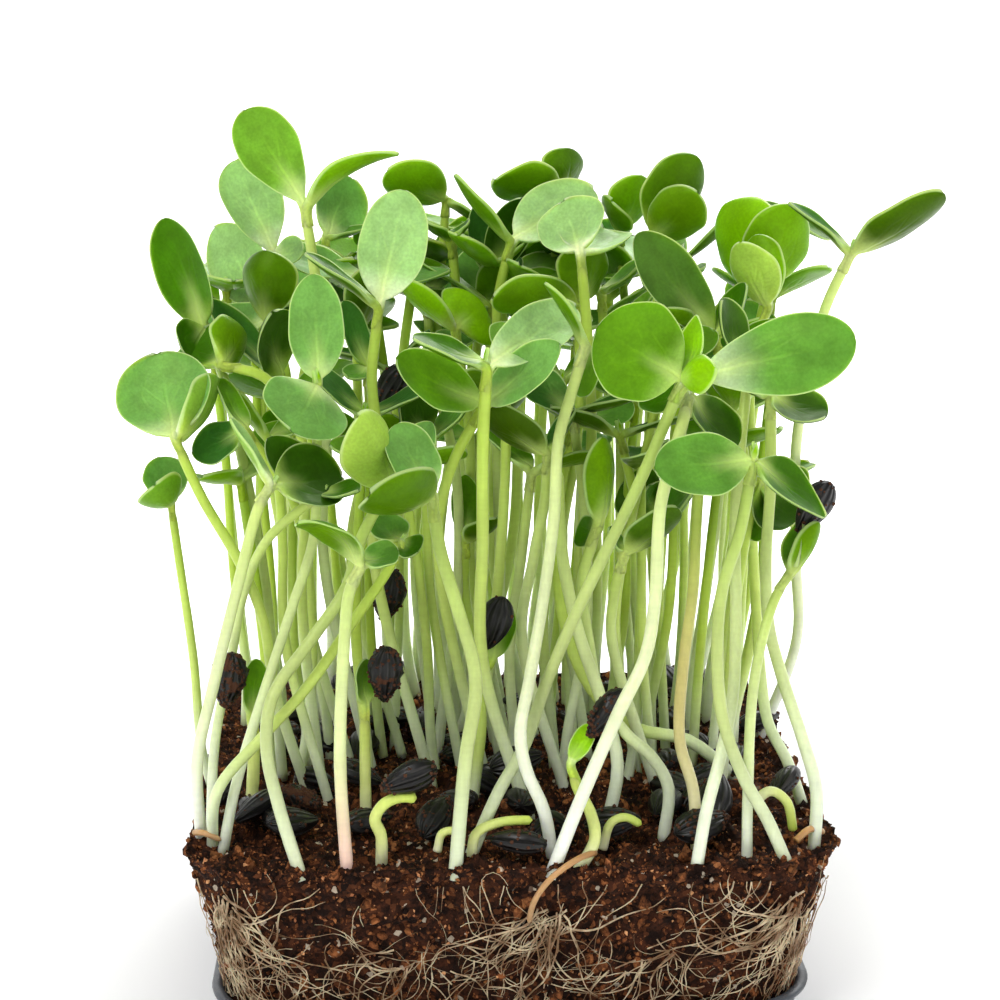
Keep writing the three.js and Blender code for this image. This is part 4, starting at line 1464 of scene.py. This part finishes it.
    def drawn_leaf(self, azimuth: float, long: float, head: Point, tone: Tone) -> Leaf:
        """Draws a seed leaf, which rises where it would reach out too far.

        Args:
            azimuth: roughly the way that it points.
            long: its length.
            head: the head of its stem.
            tone: its colours.

        Returns:
            The leaf.
        """
        rng = self.rng
        azimuth += rng.gauss(0, 14)
        rise = rng.uniform(5, 55)
        out = math.radians(azimuth)
        over_x = abs(head[0] + math.cos(out) * long) - self.reach_x
        over_y = abs(head[1] + math.sin(out) * long) - self.reach_y
        rise = min(82.0, rise + max(over_x, over_y, 0) * 5)
        room = max(self.leaf_top - 0.14 * abs(head[0]) - head[2], 1.0) / long
        rise = min(rise, math.degrees(math.asin(min(room, 1.0))))
        return Leaf(
            azimuth, rise, long, long * rng.uniform(0.5, 0.64), rng.gauss(0, 22), tone,
            bend=rng.gauss(-6, 12), cup=rng.uniform(0.04, 0.2), full=rng.uniform(1.15, 1.45),
        )


@dataclass
class Hulls:
    """The seed hulls: those of the frame, and the empty ones on the soil.

    length, width and thickness are those of a hull of the usual size, sides and rings its fineness,
    strewn how many lie about, and grit how many bits stick to a wholly dusty one.
    """

    soil_top: float
    material: Material
    length: float = 10.8
    width: float = 6.4
    thickness: float = 4.2
    sides: int = 22
    rings: int = 18
    strewn: int = 58
    grit: int = 460
    seed: int = 5

    def __post_init__(self) -> None:
        """Starts the random draws, with no hull made."""
        self.rng, self.draft = Random(self.seed), Draft()

    def shell(self, hull: Hull) -> None:
        """Adds one hull: a flattened drop with low ridges and a keel along each edge.

        Args:
            hull: the hull.
        """
        rng = self.rng
        along, across, over = Leaf(hull.narrow, hull.rise, 1, 1, hull.roll).axes()
        t = (1 - np.cos(np.linspace(0.0, math.pi, self.rings))) / 2
        share = np.sin(math.pi * t.clip(0.0004, 0.9996) ** 0.75) ** 0.7
        angle = np.linspace(0, 2 * math.pi, self.sides, endpoint=False)
        u, h = np.cos(angle), np.sign(np.sin(angle)) * np.abs(np.sin(angle)) ** 0.85
        ridge = 1 + 0.025 * np.cos(angle * 11 + rng.uniform(0, 6))
        bulk = hull.size * rng.uniform(0.96, 1.04)
        x = u * share[:, None] * self.width / 2 * bulk
        z = h * ridge * share[:, None] * self.thickness / 2 * bulk
        y = (t - 0.5) * self.length * bulk
        middles = np.array(hull.at) + [0, 0, self.soil_top] + y[:, None, None] * along
        rings = middles + x[..., None] * across + z[..., None] * over
        if hull.dusty > 0.15:
            lumps = np.array([noise.noise(Vector(p) * 1.6) for p in rings.reshape(-1, 3)]).reshape(x.shape)
            rings = rings + (rings - middles) * (1.1 * hull.dusty * lumps.clip(-0.3)[..., None])
        sideways = u * np.sign(h + 0.01)
        places = np.stack(np.broadcast_arrays(t[:, None], sideways, hull.dusty), axis=2)
        self.draft.skin(rings, np.full(rings.shape, PLAIN_TINT), places)
        for _ in range(int(hull.dusty * self.grit)):
            spot = rings[rng.randrange(2, self.rings - 2), rng.randrange(self.sides)]
            self.bit(spot)

    def bit(self, spot: Array) -> None:
        """Adds a bit of soil that sticks to a hull.

        Args:
            spot: where it sticks.
        """
        turn = np.array([[self.rng.gauss(0, 1) for _ in range(3)] for _ in range(2)])
        way, side = unit(turn[0]), unit(np.cross(turn[0], turn[1]))
        size = self.rng.uniform(0.14, 0.46)
        path = spot + way * np.array([[-0.7], [0.1], [0.8]]) * size
        rings = tube_rings(path, np.array([0.5, 1.0, 0.4]) * size, 5, side)
        self.draft.skin(rings, np.full(rings.shape, PLAIN_TINT), np.ones(rings.shape))

    def strew(self) -> Hull:
        """Draws a hull that lies on the soil.

        Returns:
            The hull.
        """
        rng = self.rng
        at = (rng.uniform(-54, 54), rng.uniform(-48, 52), rng.uniform(0.8, 3.0))
        return Hull(at, rng.uniform(0, 360), rng.gauss(0, 12), rng.gauss(0, 25), rng.uniform(0.0, 0.16))

    def build(self) -> None:
        """Makes every hull."""
        strewn = (self.strew() for _ in range(self.strewn))
        groups = [(name + "_shell", [hull], name) for name, hull in HULLS.items()]
        groups += [("loose_hulls", LOOSE_HULLS, None), ("strewn_hulls", strewn, None)]
        for name, hulls, replaced in groups:
            self.draft = Draft()
            for hull in hulls:
                self.shell(hull)
            place_piece(self.draft.build(name, [self.material]), replaced)


@dataclass(frozen=True)
class Block:
    """The soil's block: half sizes at its top, corner radius, height, and how far its sides lean in."""

    half_x: float
    half_y: float
    corner: float
    top: float
    lean: float

    def half(self, half: float, z: float) -> float:
        """A half size at a height above the table."""
        return half - (self.top - z) * self.lean

    def rounded(self, x: Array, y: Array, half_x: float, half_y: float) -> tuple[Array, Array]:
        """Pulls the points of a square-cornered rectangle into its rounded one.

        Args:
            x: their places across.
            y: their places in depth.
            half_x: the rectangle's half width.
            half_y: its half depth.

        Returns:
            The new places.
        """
        over_x, over_y = np.abs(x) - (half_x - self.corner), np.abs(y) - (half_y - self.corner)
        inside = (over_x > 0) & (over_y > 0)
        far = np.maximum(over_x, over_y)
        size = np.hypot(over_x, over_y).clip(1e-9)
        new_x = np.where(inside, np.sign(x) * (half_x - self.corner + over_x * far / size), x)
        new_y = np.where(inside, np.sign(y) * (half_y - self.corner + over_y * far / size), y)
        return new_x, new_y

    def on_side(self, share: float, z: float, out: float) -> Array:
        """A point on the side of the block.

        Args:
            share: the share of the way round, from the middle of the front towards +X.
            z: its height above the table.
            out: how far it stands off the side.

        Returns:
            The point.
        """
        half_x, half_y = self.half(self.half_x, z), self.half(self.half_y, z)
        turns = share % 1.0 * 4
        face, along = int(turns + 0.5) % 4, (turns + 0.5) % 1.0 * 2 - 1
        way = ((along, -1), (1, along), (-along, 1), (-1, -along))[face]
        places = np.array([way[0] * half_x]), np.array([way[1] * half_y])
        (x,), (y,) = self.rounded(*places, half_x, half_y)
        ahead = ((1, 0), (0, 1), (-1, 0), (0, -1))[face]
        normal = np.array([ahead[1], -ahead[0], 0.0])
        past_x, past_y = (
            np.sign(value) * max(abs(value) - half + self.corner, 0)
            for value, half in ((x, half_x), (y, half_y))
        )
        if past_x and past_y:
            normal = unit(np.array([past_x, past_y, 0.0]))
        return np.array([x, y, z]) + normal * out


@dataclass
class Soil:
    """The block of soil, its crumbs and its pale grains.

    low is the soil's lowest height and tray_top that of the tray's lip, bare how far over the lip
    the rough surface and its crumbs start, and cell the spacing of the block's points. Densities
    are for each square metre.
    """

    block: Block
    low: float
    tray_top: float
    soil: Material
    crumb: Material
    bark: Material
    grains: Material
    cell: float = 0.68
    crumb_density: float = 500000.0
    grain_density: float = 5000.0
    bare: float = 1.5

    def build(self) -> None:
        """Makes the block and scatters the crumbs over it."""
        block = self.body()
        place_piece(block, "soil_block")
        dense = self.crumb_density
        kinds = (
            Scatter("soil_crumbs", self.crumb, dense, 0.2, 0.85, 0, 3),
            Scatter("soil_clods", self.crumb, dense * 0.08, 0.6, 2.2, 1, 4),
            Scatter("soil_bark", self.bark, dense * 0.16, 0.16, 0.7, 0, 6),
            Scatter("soil_grains", self.grains, self.grain_density, 0.09, 0.28, 0, 5),
        )
        for kind in kinds:
            place_piece(kind.over(block, self.tray_top + self.bare))

    def body(self) -> Object:
        """Makes the block from a fine grid of points over its top and sides.

        Returns:
            The block.
        """
        block = self.block
        across, deep = (2 * round(half / self.cell) for half in (block.half_x, block.half_y))
        levels = round((block.top - self.low) / self.cell)
        loop = [(i, 0) for i in range(across)] + [(across, j) for j in range(deep)]
        loop += [(across - i, deep) for i in range(across)] + [(0, deep - j) for j in range(deep)]
        top = [(i, j, levels) for j in range(deep + 1) for i in range(across + 1)]
        grid = np.array(top + [(i, j, level) for level in range(levels) for i, j in loop], float)
        z = self.low + (block.top - self.low) * grid[:, 2] / levels
        half_x, half_y = block.half(block.half_x, z), block.half(block.half_y, z)
        x, y = (grid[:, 0] / across * 2 - 1) * half_x, (grid[:, 1] / deep * 2 - 1) * half_y
        x, y = block.rounded(x, y, half_x, half_y)
        faces = []
        for j in range(deep):
            for i in range(across):
                low = j * (across + 1) + i
                faces.append((low, low + 1, low + across + 2, low + across + 1))
        first, around = len(top), len(loop)
        rings = [list(range(first + k * around, first + (k + 1) * around)) for k in range(levels)]
        rings.append([j * (across + 1) + i for i, j in loop])
        for lower, upper in zip(rings, rings[1:]):
            for a in range(around):
                b = (a + 1) % around
                faces.append((lower[a], lower[b], upper[b], upper[a]))
        faces += [(rings[0][(a + 1) % around], rings[0][a], len(grid)) for a in range(around)]
        return self.roughened(np.vstack([np.column_stack([x, y, z]), [[0.0, 0.0, self.low]]]), faces)

    def unevenness(self, point: Array) -> float:
        """How far the soil stands out at a point: low hills, clods, and crumbs with cracks between.

        Args:
            point: the point in millimetres.

        Returns:
            The distance in millimetres.
        """
        spot = Vector(point)
        hills = noise.noise(spot * 0.09) * 1.1
        clods = noise.turbulence(spot * 0.26, 3, False) * 1.5 - 0.9
        near, next_near = noise.voronoi(spot * 0.62)[0][:2]
        return hills + clods + min(next_near - near, 0.6) * 0.9 - 0.35

    def roughened(self, points: Array, faces: list[tuple[int, ...]]) -> Object:
        """Pushes a smooth block's points in and out, except inside the tray, and makes the object.

        Args:
            points: the points in millimetres.
            faces: the faces.

        Returns:
            The object.
        """
        mesh = bpy.data.meshes.new("soil_body")
        mesh.from_pydata((points * MM).tolist(), [], faces)
        mesh.update()
        normals = np.zeros(len(points) * 3, np.float32)
        mesh.vertex_normals.foreach_get("vector", normals)
        normals = normals.reshape(-1, 3)
        height = points[:, 2]
        free = smooth(self.tray_top - 1.0, self.tray_top + self.bare, height)
        upward = smooth(0.5, 0.9, normals[:, 2])
        push = np.array([self.unevenness(point) for point in points]) * (0.85 + 0.5 * upward) - 0.25
        push = np.where(height < self.low + 0.01, 0, push)
        edge = smooth(3.0, 0.0, self.block.top - height) * (1 - upward)
        moved = points + normals * (push * free - 0.15)[:, None]
        moved[:, 2] += push * 0.4 * edge
        mesh.vertices.foreach_set("co", (moved * MM).ravel())
        mesh.polygons.foreach_set("use_smooth", [True] * len(faces))
        mesh.materials.append(self.soil)
        mesh.update()
        return shown("soil_body", mesh)


def crumb_shapes(seed: int, cuts: int, count: int = 6) -> list[Object]:
    """Small rough lumps of 8 faces, or of 32 with one cut, one unit in radius.

    Args:
        seed: the seed of their roughness.
        cuts: how often their edges are cut.
        count: how many.

    Returns:
        The lumps, which are in no scene.
    """
    rng = Random(seed)
    made = []
    for number in range(count):
        shape = bmesh.new()
        tips = ((1, 0, 0), (0, 1, 0), (-1, 0, 0), (0, -1, 0), (0, 0, 1), (0, 0, -1))
        corners = [shape.verts.new(tip) for tip in tips]
        for a in range(4):
            b = (a + 1) % 4
            shape.faces.new((corners[a], corners[b], corners[4]))
            shape.faces.new((corners[b], corners[a], corners[5]))
        if cuts:
            bmesh.ops.subdivide_edges(shape, edges=shape.edges[:], cuts=cuts, use_grid_fill=True)
        squash = (1.0, rng.uniform(0.55, 1.0), rng.uniform(0.45, 0.8))
        for vert in shape.verts:
            vert.co = vert.co.normalized() * rng.uniform(0.7, 1.2)
            vert.co = Vector(c * s for c, s in zip(vert.co, squash))
        mesh = bpy.data.meshes.new(f"crumb_{number}")
        shape.to_mesh(mesh)
        shape.free()
        mesh.polygons.foreach_set("use_smooth", [cuts > 0] * len(mesh.polygons))
        made.append(bpy.data.objects.new(f"crumb_{number}", mesh))
    return made


class Tree(Nodes):
    """A Geometry Nodes tree in the making."""

    def __init__(self, name: str, inputs: dict[str, str]) -> None:
        """Makes the tree.

        Args:
            name: its name.
            inputs: its inputs' names and the kinds of their sockets.
        """
        super().__init__(bpy.data.node_groups.new(name, "GeometryNodeTree"))
        sockets = self.tree.interface
        sockets.new_socket("Geometry", in_out="INPUT", socket_type="NodeSocketGeometry")
        self.names = {
            label: sockets.new_socket(label, in_out="INPUT", socket_type="NodeSocket" + kind).identifier
            for label, kind in inputs.items()
        }
        sockets.new_socket("Geometry", in_out="OUTPUT", socket_type="NodeSocketGeometry")
        self.entry = self.tree.nodes.new("NodeGroupInput").outputs
        self.exit = self.tree.nodes.new("NodeGroupOutput").inputs[0]

    def end(self, geometry: Socket, material: Material) -> None:
        """Makes plain geometry of what the tree made, dresses it and sends it out.

        Args:
            geometry: what the tree made.
            material: its finish.
        """
        real = self.node("GeometryNodeRealizeInstances", {0: geometry})
        dressed = self.node("GeometryNodeSetMaterial", {"Geometry": real.outputs[0], "Material": material})
        self.tree.links.new(dressed.outputs[0], self.exit)

    def run(self, name: str, mesh: Mesh, values: dict[str, object]) -> Object:
        """Runs the tree on a mesh.

        Args:
            name: the new object's name.
            mesh: what goes in.
            values: values for the tree's inputs.

        Returns:
            A plain mesh object with what comes out.
        """
        carrier = shown(name + "_carrier", mesh)
        modifier = carrier.modifiers.new("tree", "NODES")
        modifier.node_group = self.tree
        for label, value in values.items():
            modifier[self.names[label]] = value
        evaluated = carrier.evaluated_get(bpy.context.evaluated_depsgraph_get())
        result = bpy.data.meshes.new_from_object(evaluated)
        bpy.data.objects.remove(carrier)
        result.name = name
        return shown(name, result)


@dataclass(frozen=True)
class Scatter:
    """One kind of crumb on the soil: its finish, crumbs for each square metre, and radii in millimetres.

    cuts is how often the edges of a crumb are cut, and steep how much commoner small ones are.
    """

    name: str
    material: Material
    density: float
    small: float
    large: float
    cuts: int
    seed: int
    steep: float = 2.6

    def tree(self) -> Tree:
        """The nodes that scatter the crumbs.

        Returns:
            The tree.
        """
        inputs = {label: "Float" for label in ("Density", "Smallest", "Largest", "Lowest")}
        tree = Tree(self.name + "_scatter", {**inputs, "Shapes": "Collection"})
        spot = tree.node("ShaderNodeSeparateXYZ", {0: tree.node("GeometryNodeInputPosition").outputs[0]})
        bounds = {0: spot.outputs[2], 1: tree.entry["Lowest"]}
        high = tree.node("FunctionNodeCompare", bounds, operation="GREATER_THAN")
        points = tree.node("GeometryNodeDistributePointsOnFaces", {
            "Mesh": tree.entry["Geometry"], "Selection": high.outputs[0],
            "Density": tree.entry["Density"], "Seed": self.seed,
        })
        lot = tree.node("FunctionNodeRandomValue", {2: 0.0, 3: 1.0, "Seed": self.seed + 1})
        steep = tree.calc("POWER", lot.outputs[1], self.steep)
        spread = tree.minus(tree.entry["Largest"], tree.entry["Smallest"])
        size = tree.calc("MULTIPLY_ADD", steep, spread, tree.entry["Smallest"])
        turns = {1: (6.28, 6.28, 6.28), "Seed": self.seed + 2}
        turn = tree.node("FunctionNodeRandomValue", turns, data_type="FLOAT_VECTOR")
        shapes = tree.node("GeometryNodeCollectionInfo", {0: tree.entry["Shapes"], 1: True, 2: True})
        placed = tree.node("GeometryNodeInstanceOnPoints", {
            "Points": points.outputs["Points"], "Instance": shapes.outputs[0], "Pick Instance": True,
            "Rotation": turn.outputs[0], "Scale": size,
        })
        tree.end(placed.outputs[0], self.material)
        return tree

    def over(self, ground: Object, above: float) -> Object:
        """Scatters the crumbs over the soil.

        Args:
            ground: the soil.
            above: no crumb's middle is lower than this, in millimetres.

        Returns:
            The crumbs as one piece.
        """
        tree = self.tree()
        shelf = bpy.data.collections.new(self.name + "_shapes")
        lumps = crumb_shapes(self.seed, self.cuts)
        for lump in lumps:
            shelf.objects.link(lump)
        made = tree.run(self.name, ground.data.copy(), {
            "Density": self.density, "Smallest": self.small * MM, "Largest": self.large * MM,
            "Lowest": above * MM, "Shapes": shelf,
        })
        for lump in lumps:
            bpy.data.objects.remove(lump)
        bpy.data.collections.remove(shelf)
        return made


@dataclass(frozen=True)
class Bundle:
    """Roots that fan out from one place: the share of the way round the block, and its height.

    heading and spread are degrees from straight down towards the right as seen from outside.
    """

    share: float
    z: float
    count: int
    heading: float
    spread: float
    length: float
    radius: float


@dataclass
class Roots:
    """The roots that show on the sides of the soil.

    low is the height that they stop above. step is the length of one stretch of a root, and clumps
    are the places round the block where more of the fine roots fan out.
    """

    block: Block
    low: float
    material: Material
    fine_roots: int = 620
    step: float = 1.3
    clumps: tuple[float, ...] = (0.06, 0.125, 0.25, 0.375, 0.5, 0.625, 0.74, 0.875, 0.95)
    seed: int = 21

    def __post_init__(self) -> None:
        """Starts the random draws."""
        self.rng = Random(self.seed)

    def piece(self, name: str, strands: list[Strand], sides: int) -> Object:
        """Turns strands into round roots.

        Args:
            name: the piece's name.
            strands: the points and radii of each, in millimetres.
            sides: sides of a root.

        Returns:
            The roots as one piece.
        """
        mesh = bpy.data.meshes.new(name + "_lines")
        edges, first = [], 0
        for path, _ in strands:
            edges += [(first + i, first + i + 1) for i in range(len(path) - 1)]
            first += len(path)
        mesh.from_pydata((np.concatenate([path for path, _ in strands]) * MM).tolist(), edges, [])
        radii = np.concatenate([radii for _, radii in strands]).astype(np.float32) * MM
        mesh.attributes.new("thick", "FLOAT", "POINT").data.foreach_set("value", radii)
        tree = Tree(name + "_tree", {"Sides": "Int", "Thickness": "Float"})
        line = tree.node("GeometryNodeMeshToCurve", {0: tree.entry["Geometry"]})
        radius = tree.node("GeometryNodeInputNamedAttribute", {0: "thick"}, data_type="FLOAT")
        rounds = {"Resolution": tree.entry["Sides"], "Radius": 1.0}
        bar = tree.node("GeometryNodeCurveToMesh", {
            "Curve": line.outputs[0], "Fill Caps": True,
            "Profile Curve": tree.node("GeometryNodeCurvePrimitiveCircle", rounds).outputs[0],
            "Scale": tree.times(radius.outputs[0], tree.entry["Thickness"]),
        })
        tree.end(tree.node("GeometryNodeSetShadeSmooth", {0: bar.outputs[0]}).outputs[0], self.material)
        return tree.run(name, mesh, {"Sides": sides, "Thickness": 1.0})

    def wandering(
        self, share: float, z: float, heading: float, length: float, radius: float,
        out: float,
    ) -> Strand:
        """A root that wanders down the side of the soil.

        Args:
            share: where it starts on the way round.
            z: the height that it starts at.
            heading: its first heading, in degrees from straight down towards the front's right.
            length: its length.
            radius: its first radius.
            out: how far it stands off.

        Returns:
            Its points and radii.
        """
        around = 4 * (self.block.half_x + self.block.half_y)
        points, radii = [], []
        count = max(4, int(length / self.step))
        drift = 0.0
        for index in range(count):
            wave = out + 0.35 * noise.noise(Vector((share * 90, z * 0.4, 3.1)))
            points.append(self.block.on_side(share, z, wave))
            radii.append(radius * (1 - 0.75 * index / count))
            drift = drift * 0.7 + self.rng.gauss(0, 9)
            heading += drift - heading * 0.02
            share += math.sin(math.radians(heading)) * self.step / around
            z -= math.cos(math.radians(heading)) * self.step
            if not self.low + 1.0 < z < self.block.top + 0.6:
                break
        if len(points) < 3:
            return self.wandering(share, self.block.top - 4, 0, length, radius, out)
        return np.array(points), np.array(radii)

    def fan(self, bundle: Bundle) -> list[Strand]:
        """Draws the roots of a bundle.

        Args:
            bundle: the bundle.

        Returns:
            The roots.
        """
        rng = self.rng
        return [
            self.wandering(
                bundle.share + rng.gauss(0, 0.005), bundle.z + rng.gauss(0, 1.6),
                rng.gauss(bundle.heading, bundle.spread), bundle.length * rng.uniform(0.4, 1.0),
                bundle.radius * rng.uniform(0.3, 1.0), rng.uniform(-0.55, 0.4),
            )
            for _ in range(bundle.count)
        ]

    def fine(self) -> Strand:
        """Draws one fine root anywhere on the sides.

        Returns:
            The root.
        """
        rng = self.rng
        share, z = rng.random(), self.block.top - 5 - 26 * rng.random() ** 0.5
        heading, length = rng.gauss(0, 60), rng.uniform(4, 24)
        return self.wandering(share, z, heading, length, rng.uniform(0.06, 0.18), rng.uniform(-0.5, 0.3))

    def build(self) -> None:
        """Makes the three main bundles and the fine roots of all sides."""
        bundles = {
            "roots_left": Bundle(0.885, 31, 38, 12, 26, 34, 0.29),
            "roots_middle": Bundle(0.012, 29, 38, -10, 34, 34, 0.29),
            "roots_right": Bundle(0.108, 29, 38, -24, 26, 34, 0.29),
        }
        for name, bundle in bundles.items():
            place_piece(self.piece(name + "_bundle", self.fan(bundle), 6), name)
        strands = [self.fine() for _ in range(self.fine_roots)]
        for share in self.clumps:
            z = self.rng.uniform(18, 27)
            strands += self.fan(Bundle(share, z, 16, self.rng.gauss(0, 20), 34, 26, 0.22))
        place_piece(self.piece("fine_roots", strands, 4))


@dataclass
class Tray:
    """The shallow tray, with a rolled lip.

    gap is the room between the soil and the wall, lip how far the lip reaches past the gap, and
    around the number of points round it.
    """

    block: Block
    material: Material
    gap: float = 0.3
    wall: float = 1.0
    floor: float = 1.2
    lip: float = 2.2
    height: float = 10.0
    around: int = 240

    def section(self) -> list[tuple[float, float]]:
        """The wall's section, from the middle of the underside round to the middle of the floor.

        Returns:
            Distances off the soil's side, and heights.
        """
        inner, outer, edge, top = self.gap, self.gap + self.wall, self.gap + self.lip, self.height
        return [
            (-50.0, 0.0), (-30.0, 0.0), (-6.0, 0.0), (outer - 1.6, 0.0), (outer - 0.7, 0.12),
            (outer - 0.1, 0.6), (outer, 1.4), (outer, 4.0), (outer, top - 2.0),
            (outer + 0.15, top - 1.5), (outer + 0.5, top - 1.25), (edge - 0.35, top - 1.2),
            (edge, top - 0.9), (edge, top - 0.35), (edge - 0.35, top), (inner + 0.5, top),
            (inner + 0.1, top - 0.25), (inner, top - 0.8), (inner, 4.0), (inner, self.floor + 0.9),
            (inner - 0.3, self.floor + 0.3), (inner - 1.0, self.floor), (-6.0, self.floor),
            (-30.0, self.floor), (-50.0, self.floor),
        ]

    def build(self) -> None:
        """Sweeps the wall's section round the block."""
        shares = np.arange(self.around) / self.around
        section = self.section()
        rings = np.array([[self.block.on_side(share, z, out) for share in shares] for out, z in section])
        draft = Draft()
        draft.skin(rings, np.full(rings.shape, PLAIN_TINT), np.zeros(rings.shape))
        place_piece(draft.build("tray_moulding", [self.material]), "tray")


@dataclass(frozen=True)
class SoftLight:
    """A square light that faces the object: its place and width in metres, and its power."""

    name: str
    at: Point
    width: float
    power: float


@dataclass
class Studio:
    """The pale floor and backdrop, the soft lights and the camera.

    floor_half is half the depth of the floor under the backdrop, which goes on flat to floor_reach.
    Lights face the point at aim_height over the middle. The camera's angles are in degrees.
    """

    floor_half: float = 3.0
    floor_reach: float = 18.0
    bend: float = 0.6
    bend_steps: int = 12
    wall_top: float = 2.2
    aim_height: float = 0.08
    world_light: float = 0.48
    camera_at: Point = (-0.020, -0.410, 0.187)
    camera_turn: float = 2.75
    camera_drop: float = 12.9
    lens: float = 77.0
    lights: tuple[SoftLight, ...] = (
        SoftLight("key", (-0.55, -0.75, 1.15), 0.7, 11.5),
        SoftLight("fill", (0.9, -0.7, 0.6), 0.9, 3.0),
        SoftLight("back", (0.3, 0.9, 1.0), 0.8, 12.0),
    )

    def build(self) -> None:
        """Sets the stage."""
        scene = bpy.context.scene
        scene.view_settings.view_transform = "Standard"
        self.backdrop()
        for light in self.lights:
            self.lamp(light)
        world = bpy.data.worlds.new("studio")
        world.use_nodes = True
        background = world.node_tree.nodes["Background"].inputs
        background[0].default_value, background[1].default_value = (1, 1, 1, 1), self.world_light
        scene.world = world
        camera = bpy.data.cameras.new("camera")
        camera.lens, camera.sensor_width = self.lens, 36.0
        camera.clip_start, camera.clip_end = 0.01, 20
        scene.camera = shown("camera", camera)
        scene.camera.location = self.camera_at
        tilt, turn = math.radians(90 - self.camera_drop), -math.radians(self.camera_turn)
        scene.camera.rotation_euler = (tilt, 0, turn)
        LOG.info("studio")

    def lamp(self, light: SoftLight) -> None:
        """Makes one light.

        Args:
            light: the light.
        """
        area = bpy.data.lights.new(light.name, "AREA")
        area.shape, area.size, area.energy = "SQUARE", light.width, light.power
        lamp = shown(light.name, area)
        lamp.location = light.at
        facing = Vector((0, 0, self.aim_height)) - Vector(light.at)
        lamp.rotation_euler = facing.to_track_quat("-Z", "Y").to_euler()

    def backdrop(self) -> None:
        """Makes a floor that curves up behind into a wall, and goes on flat in front and at the sides."""
        half, wide, bend = self.floor_half, self.floor_reach, self.bend
        back = half - bend
        section = [(-half, 0.0), (back, 0.0)]
        for index in range(1, self.bend_steps + 1):
            turn = math.pi / 2 * index / self.bend_steps
            section.append((back + bend * math.sin(turn), bend * (1 - math.cos(turn))))
        section.append((half, self.wall_top))
        vertices = [(x, y, z) for y, z in section for x in (-2 * half, 2 * half)]
        faces = [(2 * i, 2 * i + 1, 2 * i + 3, 2 * i + 2) for i in range(len(section) - 1)]
        front = (-wide, wide, -wide, -half)
        sides = (-wide, -2 * half, -half, back), (2 * half, wide, -half, back)
        for left, right, near, far in (front, *sides):
            faces.append(tuple(range(len(vertices), len(vertices) + 4)))
            vertices += [(left, near, 0.0), (right, near, 0.0), (right, far, 0.0), (left, far, 0.0)]
        mesh = bpy.data.meshes.new("backdrop")
        mesh.from_pydata(vertices, [], faces)
        mesh.polygons.foreach_set("use_smooth", [True] * len(faces))
        mesh.materials.append(PaleFinish().build())
        made = shown("backdrop", mesh)


def place_piece(piece: Object, node: str | None = None) -> None:
    """Attaches a piece to the body, hides the frame's part that it stands for, and reports it.

    Args:
        piece: the piece.
        node: the frame's node that it stands for.
    """
    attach(piece, BODY)
    if node:
        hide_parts(node)
    LOG.info("%s: %d faces", piece.name, len(piece.data.polygons))


def main() -> None:
    """Builds everything in order."""
    logging.basicConfig(level=logging.INFO, format="%(name)s: %(message)s")
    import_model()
    Studio().build()
    soil_low, soil_high = (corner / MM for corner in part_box("soil_block"))
    tray_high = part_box("tray")[1].z / MM
    block = Block(float(soil_high.x), float(soil_high.y), SOIL_CORNER, float(soil_high.z), SOIL_LEAN)
    skins = [StemFinish().build(), LeafFinish("leaf_upper").build(), under_finish().build()]
    earths = [finish.build() for finish in (shaded_ground_finish(), SoilFinish(), bark_finish(), SpeckFinish())]
    Tray(block, TrayFinish().build()).build()
    Soil(block, float(soil_low.z), tray_high, *earths).build()
    Roots(block, tray_high, RootFinish().build()).build()
    Hulls(block.top, HullFinish().build()).build()
    Stand(block.top, skins).build()


if __name__ == "__main__":
    main()
